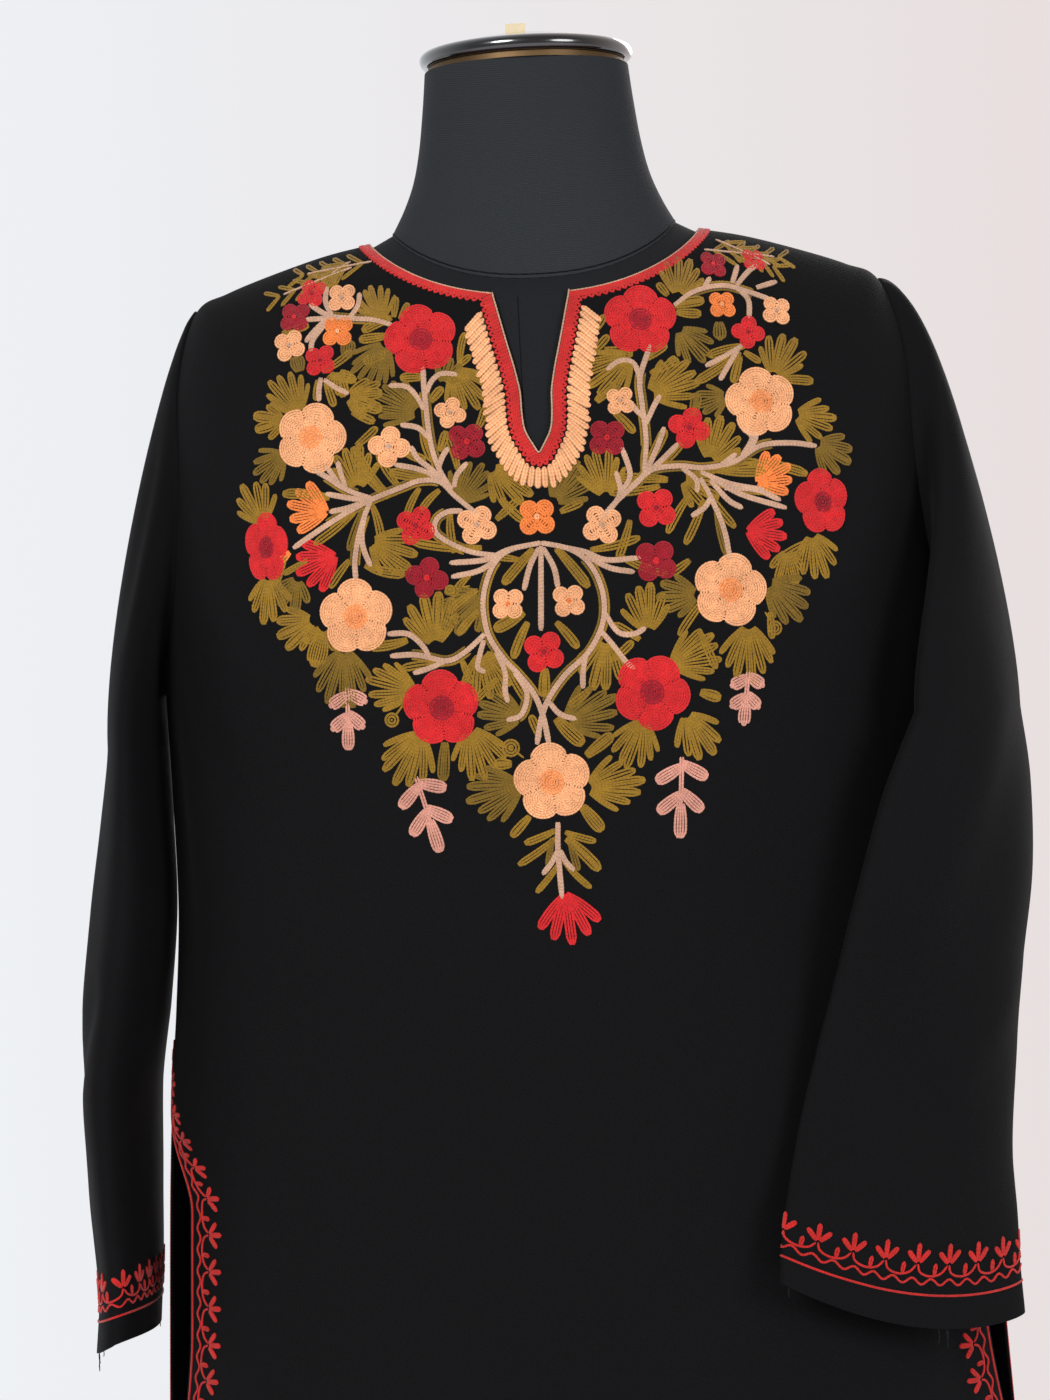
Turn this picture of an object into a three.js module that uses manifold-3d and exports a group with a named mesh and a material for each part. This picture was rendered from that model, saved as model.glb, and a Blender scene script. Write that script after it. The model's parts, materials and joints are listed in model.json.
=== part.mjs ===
// A pheran, a long-sleeved wool tunic, worn on a limbless dress form with a round base.
// Millimetres. X runs to the viewer's right, the front faces -Y, Z is up from the floor at z = 0.
import * as THREE from 'three';
import { mergeVertices } from 'three/addons/utils/BufferGeometryUtils.js';
import Module from 'manifold-3d';

const wasm = await Module();
wasm.setup();

// Cloth
const CLOTH = 1.6;             // wall of the twill
const SEAM_GAP = 0.3;          // between two pieces at a seam
const SEAT_GAP = 0.3;          // between two hard pieces that rest on each other
const ROUNDNESS = 2.3;         // exponent of a ring's outline, 2 is an ellipse
const SLOPE_POWER = 1.5;       // how fast a ring drops from the shoulder to the centre
const PANEL_COLUMNS = 20;      // columns across half the body
const ROWS_PER_RING = 2;

// The body's rings, from the neckline to the hem.
// Columns: half width, depth in front, depth behind, height at the side, centre front, centre back
const BODY_RINGS = [
  [90, 72, 62, 1400, 1362, 1397],
  [115, 82, 74, 1395, 1340, 1372],
  [145, 91, 86, 1386, 1316, 1340],
  [170, 99, 96, 1377, 1292, 1308],
  [187, 106, 102, 1368, 1270, 1280],
  [202, 112, 106, 1335, 1246, 1252],
  [208, 118, 108, 1290, 1220, 1225],
  [212, 123, 109, 1240, 1196, 1200],
  [214, 126, 108, 1192, 1172, 1174],
  [214, 127, 106, 1158, 1150, 1150],
  [213, 125, 104, 1100, 1096, 1096],
  [213, 121, 103, 1040, 1038, 1038],
  [217, 119, 106, 985, 985, 985],
  [221, 119, 111, 945, 945, 945],
  [225, 121, 118, 880, 880, 880],
  [229, 124, 124, 800, 800, 800],
  [234, 128, 130, 700, 700, 700],
  [240, 132, 136, 590, 590, 590],
  [246, 137, 141, 490, 490, 490],
  [251, 141, 145, 400, 400, 400],
];
const SHOULDER_RING = 4;       // index of the ring at the shoulder corner
const UNDERARM_RING = 9;
const SLIT_RING = 13;          // the side slits open below this ring
const HEM_RING = BODY_RINGS.length - 1;

// Soft folds of the skirt. Angles are round the body, 0 at centre front and 180 at centre back.
// Columns: angle at its top, angle at the hem, top height, depth at the hem, half width in degrees
const SKIRT_FOLDS = [
  [-6, -9, 1000, -5, 11],
  [18, 21, 1040, 5, 10],
  [-34, -39, 780, 8, 12],
  [46, 50, 780, -7, 12],
  [-64, -67, 780, -7, 11],
  [72, 74, 780, 6, 10],
  [112, 109, 780, 7, 12],
  [-114, -110, 780, 6, 12],
  [140, 138, 960, -8, 12],
  [-146, -142, 960, -8, 12],
  [171, 168, 1060, 7, 13],
];

// Armholes and slits, as angles taken off a panel's side edge
const ARMHOLE_FRONT = 20;
const ARMHOLE_BACK = 26;
const ARMHOLE_CURVE = 0.7;
const SLIT_FRONT_PULL = 22;
const SLIT_BACK_PULL = -2.5;
const SLIT_CLOSE = 0.5;        // how much of the pull is gone again further down
const SLIT_CLOSE_START = 14.8;
const SLIT_CLOSE_END = 16.5;

// The slit below the front neckline. Columns: share of the depth, half width
const NECK_SLIT = [
  [-0.2, 22], [0, 20], [0.11, 17.7], [0.31, 13.7], [0.49, 9.8], [0.633, 7.4], [0.757, 7.3], [0.87, 6.4], [1, 0.4],
];
const NECK_SLIT_X = -4;
const NECK_SLIT_TOP = 1364;
const NECK_SLIT_DEPTH = 88;
const NECK_SLIT_CUT_BACK = -35;   // the cut reaches from here forward, through the front only
const NECK_SLIT_CUT_LENGTH = 110;

// Sleeves below the underarm, hanging empty against the body.
// Columns: height, angle round the body, half flat width, half thickness, gap to the body,
// straightness (0 follows the body, 1 is flat), rise of the front edge, drop of the outer side
const LEFT_SLEEVE = [
  [1130, 90, 86, 15, 2.2, 1, 0, 0],
  [1086, 90, 84, 18, 2.2, 1, 0, 0],
  [1040, 90, 83, 21.5, 2.2, 1, 0, 0],
  [990, 91, 81, 22, 5, 1, 0, 0],
  [945, 92, 80, 19.5, 9, 1, 0, 0],
  [895, 92, 78, 17, 8.5, 1, 1, 2],
  [850, 91, 77, 15.5, 7, 1, 2, 6],
  [813, 90, 76, 16.5, 7, 1, 4, 12],
];
const RIGHT_SLEEVE = [
  [1130, 77, 86, 18, 2.5, 0.6, 0, 0],
  [1090, 71, 84, 20, 2.5, 0.5, 0, 0],
  [1040, 67, 82, 20, 2.5, 0.3, 0, 0],
  [990, 62, 79, 15, 2.5, 0.15, 2, 0],
  [940, 55, 76, 11, 2, 0.1, 5, 0],
  [890, 48, 71, 10, 2, 0.1, 9, 1],
  [850, 43, 70, 13, 2.5, 0.55, 12, 1],
  [813, 41, 72, 15, 2.5, 0.85, 15, 2],
];
const RISE_BEND = 0.85;        // how much of the front edge's rise the back edge shares
const SLEEVE_PROUD = 1;        // how far the sleeve head stands out of the armhole before it turns
const SLEEVE_HEAD_RINGS = 6;   // rings between the armhole and the first row of the table
const LEFT_REACH_TOP = 26;     // how strongly the left sleeve's head leaves the shoulder sideways
const RIGHT_REACH_TOP = 90;
const SLEEVE_REACH_UNDERARM = 10;

// The dress form. Columns as in BODY_RINGS
const FORM_CLEARANCE = 0.5;    // between the cloth's inside and the shoulders that carry it
const FORM_NECK_RING = [78, 62, 56, 1404, 1371, 1412];
const FORM_BODY_RINGS = [
  [184, 104, 97, 1345, 1242, 1247],
  [176, 105, 95, 1310, 1216, 1221],
  [163, 109, 94, 1265, 1190, 1195],
  [152, 115, 92, 1210, 1166, 1166],
  [147, 118, 90, 1160, 1144, 1144],
  [138, 108, 84, 1110, 1104, 1104],
  [125, 93, 76, 1062, 1062, 1062],
  [119, 86, 74, 1030, 1030, 1030],
  [129, 90, 84, 980, 980, 980],
  [150, 98, 103, 920, 920, 920],
  [165, 103, 115, 860, 860, 860],
  [167, 103, 113, 805, 805, 805],
  [160, 98, 106, 745, 745, 745],
  [148, 90, 98, 700, 700, 700],
];
const FORM_NECK_RINGS = [
  [71, 57, 53, 1417, 1396, 1423],
  [65, 54, 52, 1432, 1423, 1436],
  [61, 52.5, 52, 1450, 1447, 1452],
  [58, 52, 52, 1472, 1471, 1473],
  [56, 52, 52, 1491, 1491, 1491],
];
const FORM_NECK_CENTRE = 1400;
const STRIP_RADIUS = 54;
const STRIP_HEIGHT = 3;
// The cap's outline above its underside. Columns: radius, height
const CAP_OUTLINE = [
  [0, 0], [55.5, 0], [57.8, 1.4], [58.6, 3.6], [58.3, 5.8], [56.6, 7.6], [53, 8.8],
  [46, 10.2], [39, 11.6], [33, 13], [29, 13.9], [26, 14.2], [0, 14.2],
];
const TAB_SIZE = [11, 5, 5];
const TAB_X = -5;
const TAB_Y = -20;
const POLE_RADIUS = 16;
const BASE_OUTLINE = [[0, 0], [196, 0], [200, 3], [199, 9], [190, 13], [36, 17], [0, 17]];
const HUB_OUTLINE = [[0, 0], [36, 0], [34, 8], [30, 29], [0, 29]];
const ROUND_STEPS = 40;

const degrees = Math.PI / 180;

// A smooth value between the rows of a table, at a fractional row number
function rowAt(table, place) {
  const last = table.length - 1;
  const t = THREE.MathUtils.clamp(place, 0, last);
  const k = Math.min(Math.floor(t), last - 1);
  const w = t - k;
  const rows = [k - 1, k, k + 1, k + 2].map((i) => table[THREE.MathUtils.clamp(i, 0, last)]);
  return rows[1].map((_, c) => {
    const [p0, p1, p2, p3] = rows.map((row) => row[c]);
    const bend = 2 * p0 - 5 * p1 + 4 * p2 - p3;
    const twist = 3 * p1 - 3 * p2 + p3 - p0;
    return p1 + 0.5 * w * (p2 - p0 + w * (bend + w * twist));
  });
}

// A point of a ring at an angle round the body, 0 at centre front
function ringPoint(ring, angle) {
  const [halfWidth, front, back, zSide, zFront, zBack] = ring;
  const side = Math.sin(angle);
  const ahead = Math.cos(angle);
  const power = 2 / ROUNDNESS;
  const depth = ahead >= 0 ? front : back;
  const drop = (ahead >= 0 ? zFront : zBack) - zSide;
  return new THREE.Vector3(
    halfWidth * Math.sign(side) * Math.abs(side) ** power,
    -depth * Math.sign(ahead) * Math.abs(ahead) ** power,
    zSide + drop * Math.abs(ahead) ** SLOPE_POWER,
  );
}

// How far the skirt's folds push the cloth out at this height and angle
function foldDepth(z, angle) {
  const hem = BODY_RINGS[HEM_RING][3];
  let sum = 0;
  for (const [topAngle, hemAngle, top, depth, halfWidth] of SKIRT_FOLDS) {
    if (z < top) {
      const share = (top - z) / (top - hem);
      const centre = (topAngle + (hemAngle - topAngle) * share) * degrees;
      const away = Math.atan2(Math.sin(angle - centre), Math.cos(angle - centre)) / (halfWidth * degrees);
      sum += depth * Math.sin(share * Math.PI / 2) * Math.exp(-away * away);
    }
  }
  return sum;
}

function bodyPoint(place, angle) {
  const point = ringPoint(rowAt(BODY_RINGS, place), angle);
  const push = foldDepth(point.z, angle);
  point.x += push * Math.sin(angle);
  point.y -= push * Math.cos(angle);
  return point;
}

function bodyNormal(place, angle) {
  const step = 0.02;
  const above = bodyPoint(Math.max(place - step, 0), angle);
  const below = bodyPoint(Math.min(place + step, HEM_RING), angle);
  const along = bodyPoint(place, angle + step).sub(bodyPoint(place, angle - step));
  return below.sub(above).cross(along).normalize();
}

// Geometry from points and triangles, with shared corners merged
function geometryOf(points, triangles) {
  const geometry = new THREE.BufferGeometry();
  const numbers = points.flatMap((p) => [p.x, p.y, p.z]);
  geometry.setAttribute('position', new THREE.Float32BufferAttribute(numbers, 3));
  geometry.setIndex(triangles.flat());
  return mergeVertices(geometry, 1e-4);
}

// A cloth wall between two grids of points. Rows run down and columns run anticlockwise from above.
function wall(outer, inner, { tube = false, mirrored = false } = {}) {
  const rows = outer.length;
  const columns = outer[0].length;
  const at = (layer, r, c) => (layer * rows + r) * columns + (c % columns);
  const triangles = [];
  const quad = (a, b, c, d) => triangles.push([a, b, c], [a, c, d]);
  const spans = tube ? columns : columns - 1;
  for (let r = 0; r < rows - 1; r += 1) {
    for (let c = 0; c < spans; c += 1) {
      quad(at(0, r, c), at(0, r + 1, c), at(0, r + 1, c + 1), at(0, r, c + 1));
      quad(at(1, r, c), at(1, r, c + 1), at(1, r + 1, c + 1), at(1, r + 1, c));
    }
    if (!tube) {
      const end = columns - 1;
      quad(at(0, r, 0), at(1, r, 0), at(1, r + 1, 0), at(0, r + 1, 0));
      quad(at(0, r, end), at(0, r + 1, end), at(1, r + 1, end), at(1, r, end));
    }
  }
  const low = rows - 1;
  for (let c = 0; c < spans; c += 1) {
    quad(at(0, 0, c), at(0, 0, c + 1), at(1, 0, c + 1), at(1, 0, c));
    quad(at(0, low, c), at(1, low, c), at(1, low, c + 1), at(0, low, c + 1));
  }
  if (mirrored) {
    triangles.forEach((t) => t.reverse());
  }
  return geometryOf([...outer.flat(), ...inner.flat()], triangles);
}

// A solid through closed rings, from the top one down, with a fan at each end
function loft(rings, topCentre, bottomCentre) {
  const columns = rings[0].length;
  const points = [...rings.flat(), topCentre, bottomCentre];
  const top = points.length - 2;
  const bottom = points.length - 1;
  const low = (rings.length - 1) * columns;
  const triangles = [];
  for (let c = 0; c < columns; c += 1) {
    const next = (c + 1) % columns;
    for (let r = 0; r < rings.length - 1; r += 1) {
      const a = r * columns;
      const b = a + columns;
      triangles.push([a + c, b + c, b + next], [a + c, b + next, a + next]);
    }
    triangles.push([top, c, next], [bottom, low + next, low + c]);
  }
  return geometryOf(points, triangles);
}

function subtract(geometry, cutter) {
  const solid = (g) => new wasm.Manifold(new wasm.Mesh({
    numProp: 3,
    vertProperties: g.attributes.position.array,
    triVerts: Uint32Array.from(g.index.array),
  }));
  const mesh = solid(geometry).subtract(solid(cutter)).getMesh();
  const cut = new THREE.BufferGeometry();
  cut.setAttribute('position', new THREE.BufferAttribute(mesh.vertProperties, 3));
  cut.setIndex([...mesh.triVerts]);
  return mergeVertices(cut, 1e-4);
}

// Share of the way down the armhole, 0 at the shoulder corner and 1 at the underarm
const armholeShare = (place) => (place - SHOULDER_RING) / (UNDERARM_RING - SHOULDER_RING);

// Half the angle that a panel covers at a ring: 90 degrees, less the armhole or the open slit
function panelEdge(place, armhole, slitPull) {
  const share = THREE.MathUtils.clamp(armholeShare(place), 0, 1);
  const scoop = armhole * Math.sin(Math.PI * share) ** ARMHOLE_CURVE;
  const opened = THREE.MathUtils.smoothstep(place, SLIT_RING, SLIT_RING + 1);
  const closed = SLIT_CLOSE * THREE.MathUtils.smoothstep(place, SLIT_CLOSE_START, SLIT_CLOSE_END);
  const open = slitPull * (opened - closed);
  return (90 - scoop - open) * degrees;
}

// The front or the back, facing its own middle angle
function panel(middle, armhole, slitPull) {
  const outer = [];
  const inner = [];
  const shift = (SEAM_GAP / 2) * (middle === 0 ? -1 : 1);
  for (let r = 0; r <= HEM_RING * ROWS_PER_RING; r += 1) {
    const place = r / ROWS_PER_RING;
    const half = panelEdge(place, armhole, slitPull);
    const outerRow = [];
    const innerRow = [];
    for (let c = 0; c <= PANEL_COLUMNS; c += 1) {
      const angle = middle + half * (2 * c / PANEL_COLUMNS - 1);
      const point = bodyPoint(place, angle);
      point.y += shift;
      outerRow.push(point);
      innerRow.push(point.clone().addScaledVector(bodyNormal(place, angle), -CLOTH));
    }
    outer.push(outerRow);
    inner.push(innerRow);
  }
  return wall(outer, inner);
}

function neckSlitCutter() {
  const edge = (side) => NECK_SLIT.map(([share, half]) => (
    new THREE.Vector2(NECK_SLIT_X + side * half, NECK_SLIT_TOP - share * NECK_SLIT_DEPTH)
  ));
  const outline = [...edge(-1), ...edge(1).reverse()];
  const cutter = new THREE.ExtrudeGeometry(new THREE.Shape(outline), {
    depth: NECK_SLIT_CUT_LENGTH,
    bevelEnabled: false,
  });
  cutter.rotateX(Math.PI / 2);
  cutter.translate(0, NECK_SLIT_CUT_BACK, 0);
  cutter.deleteAttribute('normal');
  cutter.deleteAttribute('uv');
  return mergeVertices(cutter, 1e-4);
}

// The armhole's edge on the right side, from the shoulder down the back and up the front
function armholeLoop() {
  const spans = (UNDERARM_RING - SHOULDER_RING) * ROWS_PER_RING;
  const loop = [];
  for (let i = 0; i < spans * 2; i += 1) {
    const down = i <= spans ? i : 2 * spans - i;
    const place = SHOULDER_RING + down / ROWS_PER_RING;
    const angle = i <= spans
      ? Math.PI - panelEdge(place, ARMHOLE_BACK, 0)
      : panelEdge(place, ARMHOLE_FRONT, 0);
    loop.push({ point: bodyPoint(place, angle), normal: bodyNormal(place, angle) });
  }
  return loop.map(({ point, normal }, i) => {
    const next = loop[(i + 1) % loop.length].point;
    const previous = loop[(i + loop.length - 1) % loop.length].point;
    const intoHole = next.clone().sub(previous).cross(normal).normalize();
    return { point, normal, intoHole };
  });
}

// The body's ring at a height below the underarm, as a flat outline
function flatRing(z) {
  let k = UNDERARM_RING;
  while (k < HEM_RING - 1 && BODY_RINGS[k + 1][3] > z) {
    k += 1;
  }
  const share = (BODY_RINGS[k][3] - z) / (BODY_RINGS[k][3] - BODY_RINGS[k + 1][3]);
  const ring = rowAt(BODY_RINGS, k + share);
  return (angle) => {
    const point = ringPoint(ring, angle);
    return new THREE.Vector2(point.x, point.y);
  };
}

function outwardOf(outline, angle) {
  const step = 0.01;
  const along = outline(angle + step).sub(outline(angle - step)).normalize();
  return new THREE.Vector2(along.y, -along.x);
}

// The angle reached by walking along an outline for a distance, forwards or backwards
function walk(outline, start, distance) {
  const step = 0.5 * degrees * Math.sign(distance);
  let angle = start;
  let left = Math.abs(distance);
  while (left > 0) {
    const length = outline(angle + step).distanceTo(outline(angle));
    angle += step * Math.min(1, left / length);
    left -= length;
  }
  return angle;
}

// One ring of a sleeve that hangs beside the body
function sleeveRing(table, place, count) {
  const [z, centreAngle, halfWidth, halfThickness, gap, straightness, frontRise, outerDrop] = rowAt(table, place);
  const outline = flatRing(z);
  const centre = centreAngle * degrees;
  const middle = outline(centre);
  const facing = outwardOf(outline, centre);
  const along = new THREE.Vector2(-facing.y, facing.x);
  const ring = [];
  for (let i = 0; i < count; i += 1) {
    const turn = 2 * Math.PI * i / count;
    const share = Math.sin(turn);
    const angle = walk(outline, centre, halfWidth * share);
    const flat = middle.clone().addScaledVector(along, halfWidth * share);
    const base = outline(angle).lerp(flat, straightness);
    const out = outwardOf(outline, angle).lerp(facing, straightness).normalize();
    base.addScaledVector(out, gap + halfThickness * (1 + Math.cos(turn)));
    const rise = frontRise * (RISE_BEND * share ** 2 - share) - outerDrop * (1 + Math.cos(turn)) / 2;
    ring.push(new THREE.Vector3(base.x, base.y, z + rise));
  }
  return ring;
}

// The sleeve's rings between the armhole and its first hanging ring, on one smooth curve each
function sleeveHead(loop, first, share, reachTop) {
  return loop.map(({ point, normal, intoHole }, i) => {
    const topness = (1 + Math.cos(2 * Math.PI * i / loop.length)) / 2;
    const reach = THREE.MathUtils.lerp(SLEEVE_REACH_UNDERARM, reachTop, topness);
    const start = point.clone().addScaledVector(intoHole, SEAM_GAP).addScaledVector(normal, SLEEVE_PROUD);
    const end = first[i];
    const t = share;
    const curve = start.clone().multiplyScalar(2 * t ** 3 - 3 * t ** 2 + 1);
    curve.addScaledVector(end, 3 * t ** 2 - 2 * t ** 3);
    curve.x += reach * (t ** 3 - 2 * t ** 2 + t);
    curve.z -= start.distanceTo(end) * (t ** 3 - t ** 2);
    return curve;
  });
}

function sleeve(side, table, reachTop) {
  const loop = armholeLoop();
  const count = loop.length;
  const first = sleeveRing(table, 0, count);
  const rings = [loop.map(({ point, normal, intoHole }) => point.clone()
    .addScaledVector(intoHole, SEAM_GAP)
    .addScaledVector(normal, -CLOTH))];
  for (let k = 0; k <= SLEEVE_HEAD_RINGS; k += 1) {
    rings.push(sleeveHead(loop, first, k / (SLEEVE_HEAD_RINGS + 1), reachTop));
  }
  for (let k = 0; k <= (table.length - 1) * ROWS_PER_RING; k += 1) {
    rings.push(sleeveRing(table, k / ROWS_PER_RING, count));
  }
  const inner = rings.map((ring, r) => ring.map((point, c) => {
    const before = rings[Math.max(r - 1, 0)][c];
    const after = rings[Math.min(r + 1, rings.length - 1)][c];
    const along = ring[(c + 1) % count].clone().sub(ring[(c + count - 1) % count]);
    const normal = after.clone().sub(before).cross(along).normalize();
    return point.clone().addScaledVector(normal, -CLOTH);
  }));
  const mirror = (ring) => ring.map((p) => new THREE.Vector3(p.x * side, p.y, p.z));
  return wall(rings.map(mirror), inner.map(mirror), { tube: true, mirrored: side < 0 });
}

function roundRing(ring) {
  const count = PANEL_COLUMNS * 2;
  return Array.from({ length: count }, (_, c) => ringPoint(ring, 2 * Math.PI * c / count));
}

// The form's torso: its shoulders lie just inside the cloth, and the rest follows its own rings
function formBody() {
  const count = PANEL_COLUMNS * 2;
  const rings = [roundRing(FORM_NECK_RING)];
  for (let r = 0; r <= SHOULDER_RING * ROWS_PER_RING; r += 1) {
    const place = r / ROWS_PER_RING;
    rings.push(Array.from({ length: count }, (_, c) => {
      const angle = 2 * Math.PI * c / count;
      return bodyPoint(place, angle).addScaledVector(bodyNormal(place, angle), -CLOTH - FORM_CLEARANCE);
    }));
  }
  rings.push(...FORM_BODY_RINGS.map(roundRing));
  const bottom = FORM_BODY_RINGS.at(-1)[3];
  return loft(rings, new THREE.Vector3(0, 0, FORM_NECK_CENTRE), new THREE.Vector3(0, 0, bottom));
}

function formNeck() {
  const rings = [...FORM_NECK_RINGS].reverse().map(roundRing);
  const foot = roundRing(FORM_NECK_RING);
  foot.forEach((p) => { p.z += SEAT_GAP; });
  const top = FORM_NECK_RINGS.at(-1)[3];
  const centre = new THREE.Vector3(0, 0, FORM_NECK_CENTRE + SEAT_GAP);
  return loft([...rings, foot], new THREE.Vector3(0, 0, top), centre);
}

// A solid turned round the Z axis from an outline of radius and height, standing at a height
function turned(outline, z) {
  const profile = outline.map(([radius, height]) => new THREE.Vector2(radius, height));
  const geometry = new THREE.LatheGeometry(profile, ROUND_STEPS);
  geometry.rotateX(Math.PI / 2);
  geometry.translate(0, 0, z);
  return geometry;
}

const disc = (radius, height) => [[0, 0], [radius, 0], [radius, height], [0, height]];

const materials = {
  twill: new THREE.MeshStandardMaterial({ color: 0x131316, roughness: 0.85 }),
  formCloth: new THREE.MeshStandardMaterial({ color: 0x2d3235, roughness: 0.8 }),
  formBody: new THREE.MeshStandardMaterial({ color: 0x101012, roughness: 0.7 }),
  gloss: new THREE.MeshStandardMaterial({ color: 0x08080a, roughness: 0.12 }),
  brass: new THREE.MeshStandardMaterial({ color: 0x9a7a4a, roughness: 0.4, metalness: 0.8 }),
  card: new THREE.MeshStandardMaterial({ color: 0xd8c8a0, roughness: 0.8 }),
  steel: new THREE.MeshStandardMaterial({ color: 0x1a1a1c, roughness: 0.35, metalness: 0.6 }),
};

const pheran = new THREE.Group();

function add(name, geometry, material) {
  const mesh = new THREE.Mesh(geometry, material);
  mesh.name = name;
  pheran.add(mesh);
}

const stripFoot = FORM_NECK_RINGS.at(-1)[3] + SEAT_GAP;
const capUnderside = stripFoot + STRIP_HEIGHT + SEAT_GAP;
const capTop = capUnderside + CAP_OUTLINE.at(-1)[1];
const hubFoot = BASE_OUTLINE.at(-1)[1] + SEAT_GAP;
const poleFoot = hubFoot + HUB_OUTLINE.at(-1)[1] + SEAT_GAP;
const poleLength = FORM_BODY_RINGS.at(-1)[3] - SEAT_GAP - poleFoot;
const tab = new THREE.BoxGeometry(...TAB_SIZE);
tab.translate(TAB_X, TAB_Y, capTop + SEAT_GAP + TAB_SIZE[2] / 2);

add('front', subtract(panel(0, ARMHOLE_FRONT, SLIT_FRONT_PULL), neckSlitCutter()), materials.twill);
add('back', panel(Math.PI, ARMHOLE_BACK, SLIT_BACK_PULL), materials.twill);
add('sleeve_left', sleeve(-1, LEFT_SLEEVE, LEFT_REACH_TOP), materials.twill);
add('sleeve_right', sleeve(1, RIGHT_SLEEVE, RIGHT_REACH_TOP), materials.twill);
add('form_body', formBody(), materials.formBody);
add('form_neck', formNeck(), materials.formCloth);
add('cap_strip', turned(disc(STRIP_RADIUS, STRIP_HEIGHT), stripFoot), materials.brass);
add('cap', turned(CAP_OUTLINE, capUnderside), materials.gloss);
add('cap_tab', tab, materials.card);
add('stand_pole', turned(disc(POLE_RADIUS, poleLength), poleFoot), materials.steel);
add('stand_hub', turned(HUB_OUTLINE, hubFoot), materials.steel);
add('stand_base', turned(BASE_OUTLINE, 0), materials.steel);

export default pheran;
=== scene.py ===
"""A pheran with an embroidered yoke, worn on a limbless dress form that stands on a round base.

The shapes are worked out in millimetres, in the frame's axes, and turned into metres when a mesh is made.
"""
import json
import math

import bpy
import numpy as np
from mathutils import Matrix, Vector

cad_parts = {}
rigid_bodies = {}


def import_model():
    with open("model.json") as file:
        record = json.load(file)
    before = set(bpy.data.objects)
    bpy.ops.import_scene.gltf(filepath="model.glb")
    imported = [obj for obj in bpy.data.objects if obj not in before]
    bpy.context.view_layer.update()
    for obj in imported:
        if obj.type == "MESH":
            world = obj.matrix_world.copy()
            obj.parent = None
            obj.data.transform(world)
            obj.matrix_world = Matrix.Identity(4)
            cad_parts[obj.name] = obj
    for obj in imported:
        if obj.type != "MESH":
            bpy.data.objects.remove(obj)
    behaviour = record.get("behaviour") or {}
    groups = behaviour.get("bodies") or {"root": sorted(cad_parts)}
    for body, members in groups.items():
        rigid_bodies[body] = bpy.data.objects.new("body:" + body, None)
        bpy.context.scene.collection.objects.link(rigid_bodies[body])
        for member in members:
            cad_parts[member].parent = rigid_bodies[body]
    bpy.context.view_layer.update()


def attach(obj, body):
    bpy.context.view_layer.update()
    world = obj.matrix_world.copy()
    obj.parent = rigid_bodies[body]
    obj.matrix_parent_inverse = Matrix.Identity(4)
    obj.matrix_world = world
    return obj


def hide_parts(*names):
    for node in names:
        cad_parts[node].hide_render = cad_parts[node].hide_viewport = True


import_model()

MM = 0.001
RANDOM = np.random.default_rng(7)

# Camera. The photo is 1050 by 1400 pixels, and its middle looks level at the chest.
PHOTO_WIDTH = 1050
PHOTO_HEIGHT = 1400
CAMERA_X = -17.6
CAMERA_DISTANCE = 2200.0
CAMERA_HEIGHT = 1146.0
CAMERA_ROLL = math.radians(2.8)
FOCAL_PIXELS = 4000.0
SENSOR = 36.0

# Cloth
CLOTH = 1.3
ROUNDNESS = 2.3
SLOPE_POWER = 1.5
SEAM_GAP = 0.3

# Fineness of the meshes
PANEL_ROWS = 210
PANEL_COLUMNS = 120
SLEEVE_SPANS = 44      # columns from the underarm to the top of the shoulder
HEAD_RINGS = 34
HANGING_RINGS = 96
TURN = math.pi + np.linspace(0, 2 * math.pi, 180, endpoint=False)

# Rings of the body. Columns: half width, depth in front, depth behind, height at the side, front, back
BODY_RINGS = [
    [90, 72, 62, 1400, 1362, 1397],
    [115, 82, 74, 1395, 1340, 1372],
    [145, 91, 86, 1386, 1316, 1340],
    [170, 99, 96, 1377, 1292, 1308],
    [187, 106, 102, 1368, 1270, 1280],
    [202, 112, 106, 1335, 1246, 1252],
    [208, 118, 108, 1290, 1220, 1225],
    [212, 123, 109, 1240, 1196, 1200],
    [214, 126, 108, 1192, 1172, 1174],
    [214, 127, 106, 1158, 1150, 1150],
    [213, 125, 104, 1100, 1096, 1096],
    [213, 121, 103, 1040, 1038, 1038],
    [217, 119, 106, 985, 985, 985],
    [221, 119, 111, 945, 945, 945],
    [225, 121, 118, 880, 880, 880],
    [229, 124, 124, 800, 800, 800],
    [234, 128, 130, 700, 700, 700],
    [240, 132, 136, 590, 590, 590],
    [246, 137, 141, 490, 490, 490],
    [251, 141, 145, 400, 400, 400],
]
SHOULDER_RING = 4
UNDERARM_RING = 9
SLIT_RING = 13
HEM_RING = len(BODY_RINGS) - 1
HEM_HEIGHT = BODY_RINGS[HEM_RING][3]
SKIRT_MIDDLE = 680.0

# Soft folds of the skirt. Columns: angle at its top, angle at the hem, top height, depth, half width
SKIRT_FOLDS = [
    [-6, -9, 1000, -5, 11],
    [18, 21, 1040, 5, 10],
    [-34, -39, 780, 8, 12],
    [46, 50, 780, -7, 12],
    [-64, -67, 780, -7, 11],
    [72, 74, 780, 6, 10],
    [112, 109, 780, 7, 12],
    [-114, -110, 780, 6, 12],
    [140, 138, 960, -8, 12],
    [-146, -142, 960, -8, 12],
    [171, 168, 1060, 7, 13],
]
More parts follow.
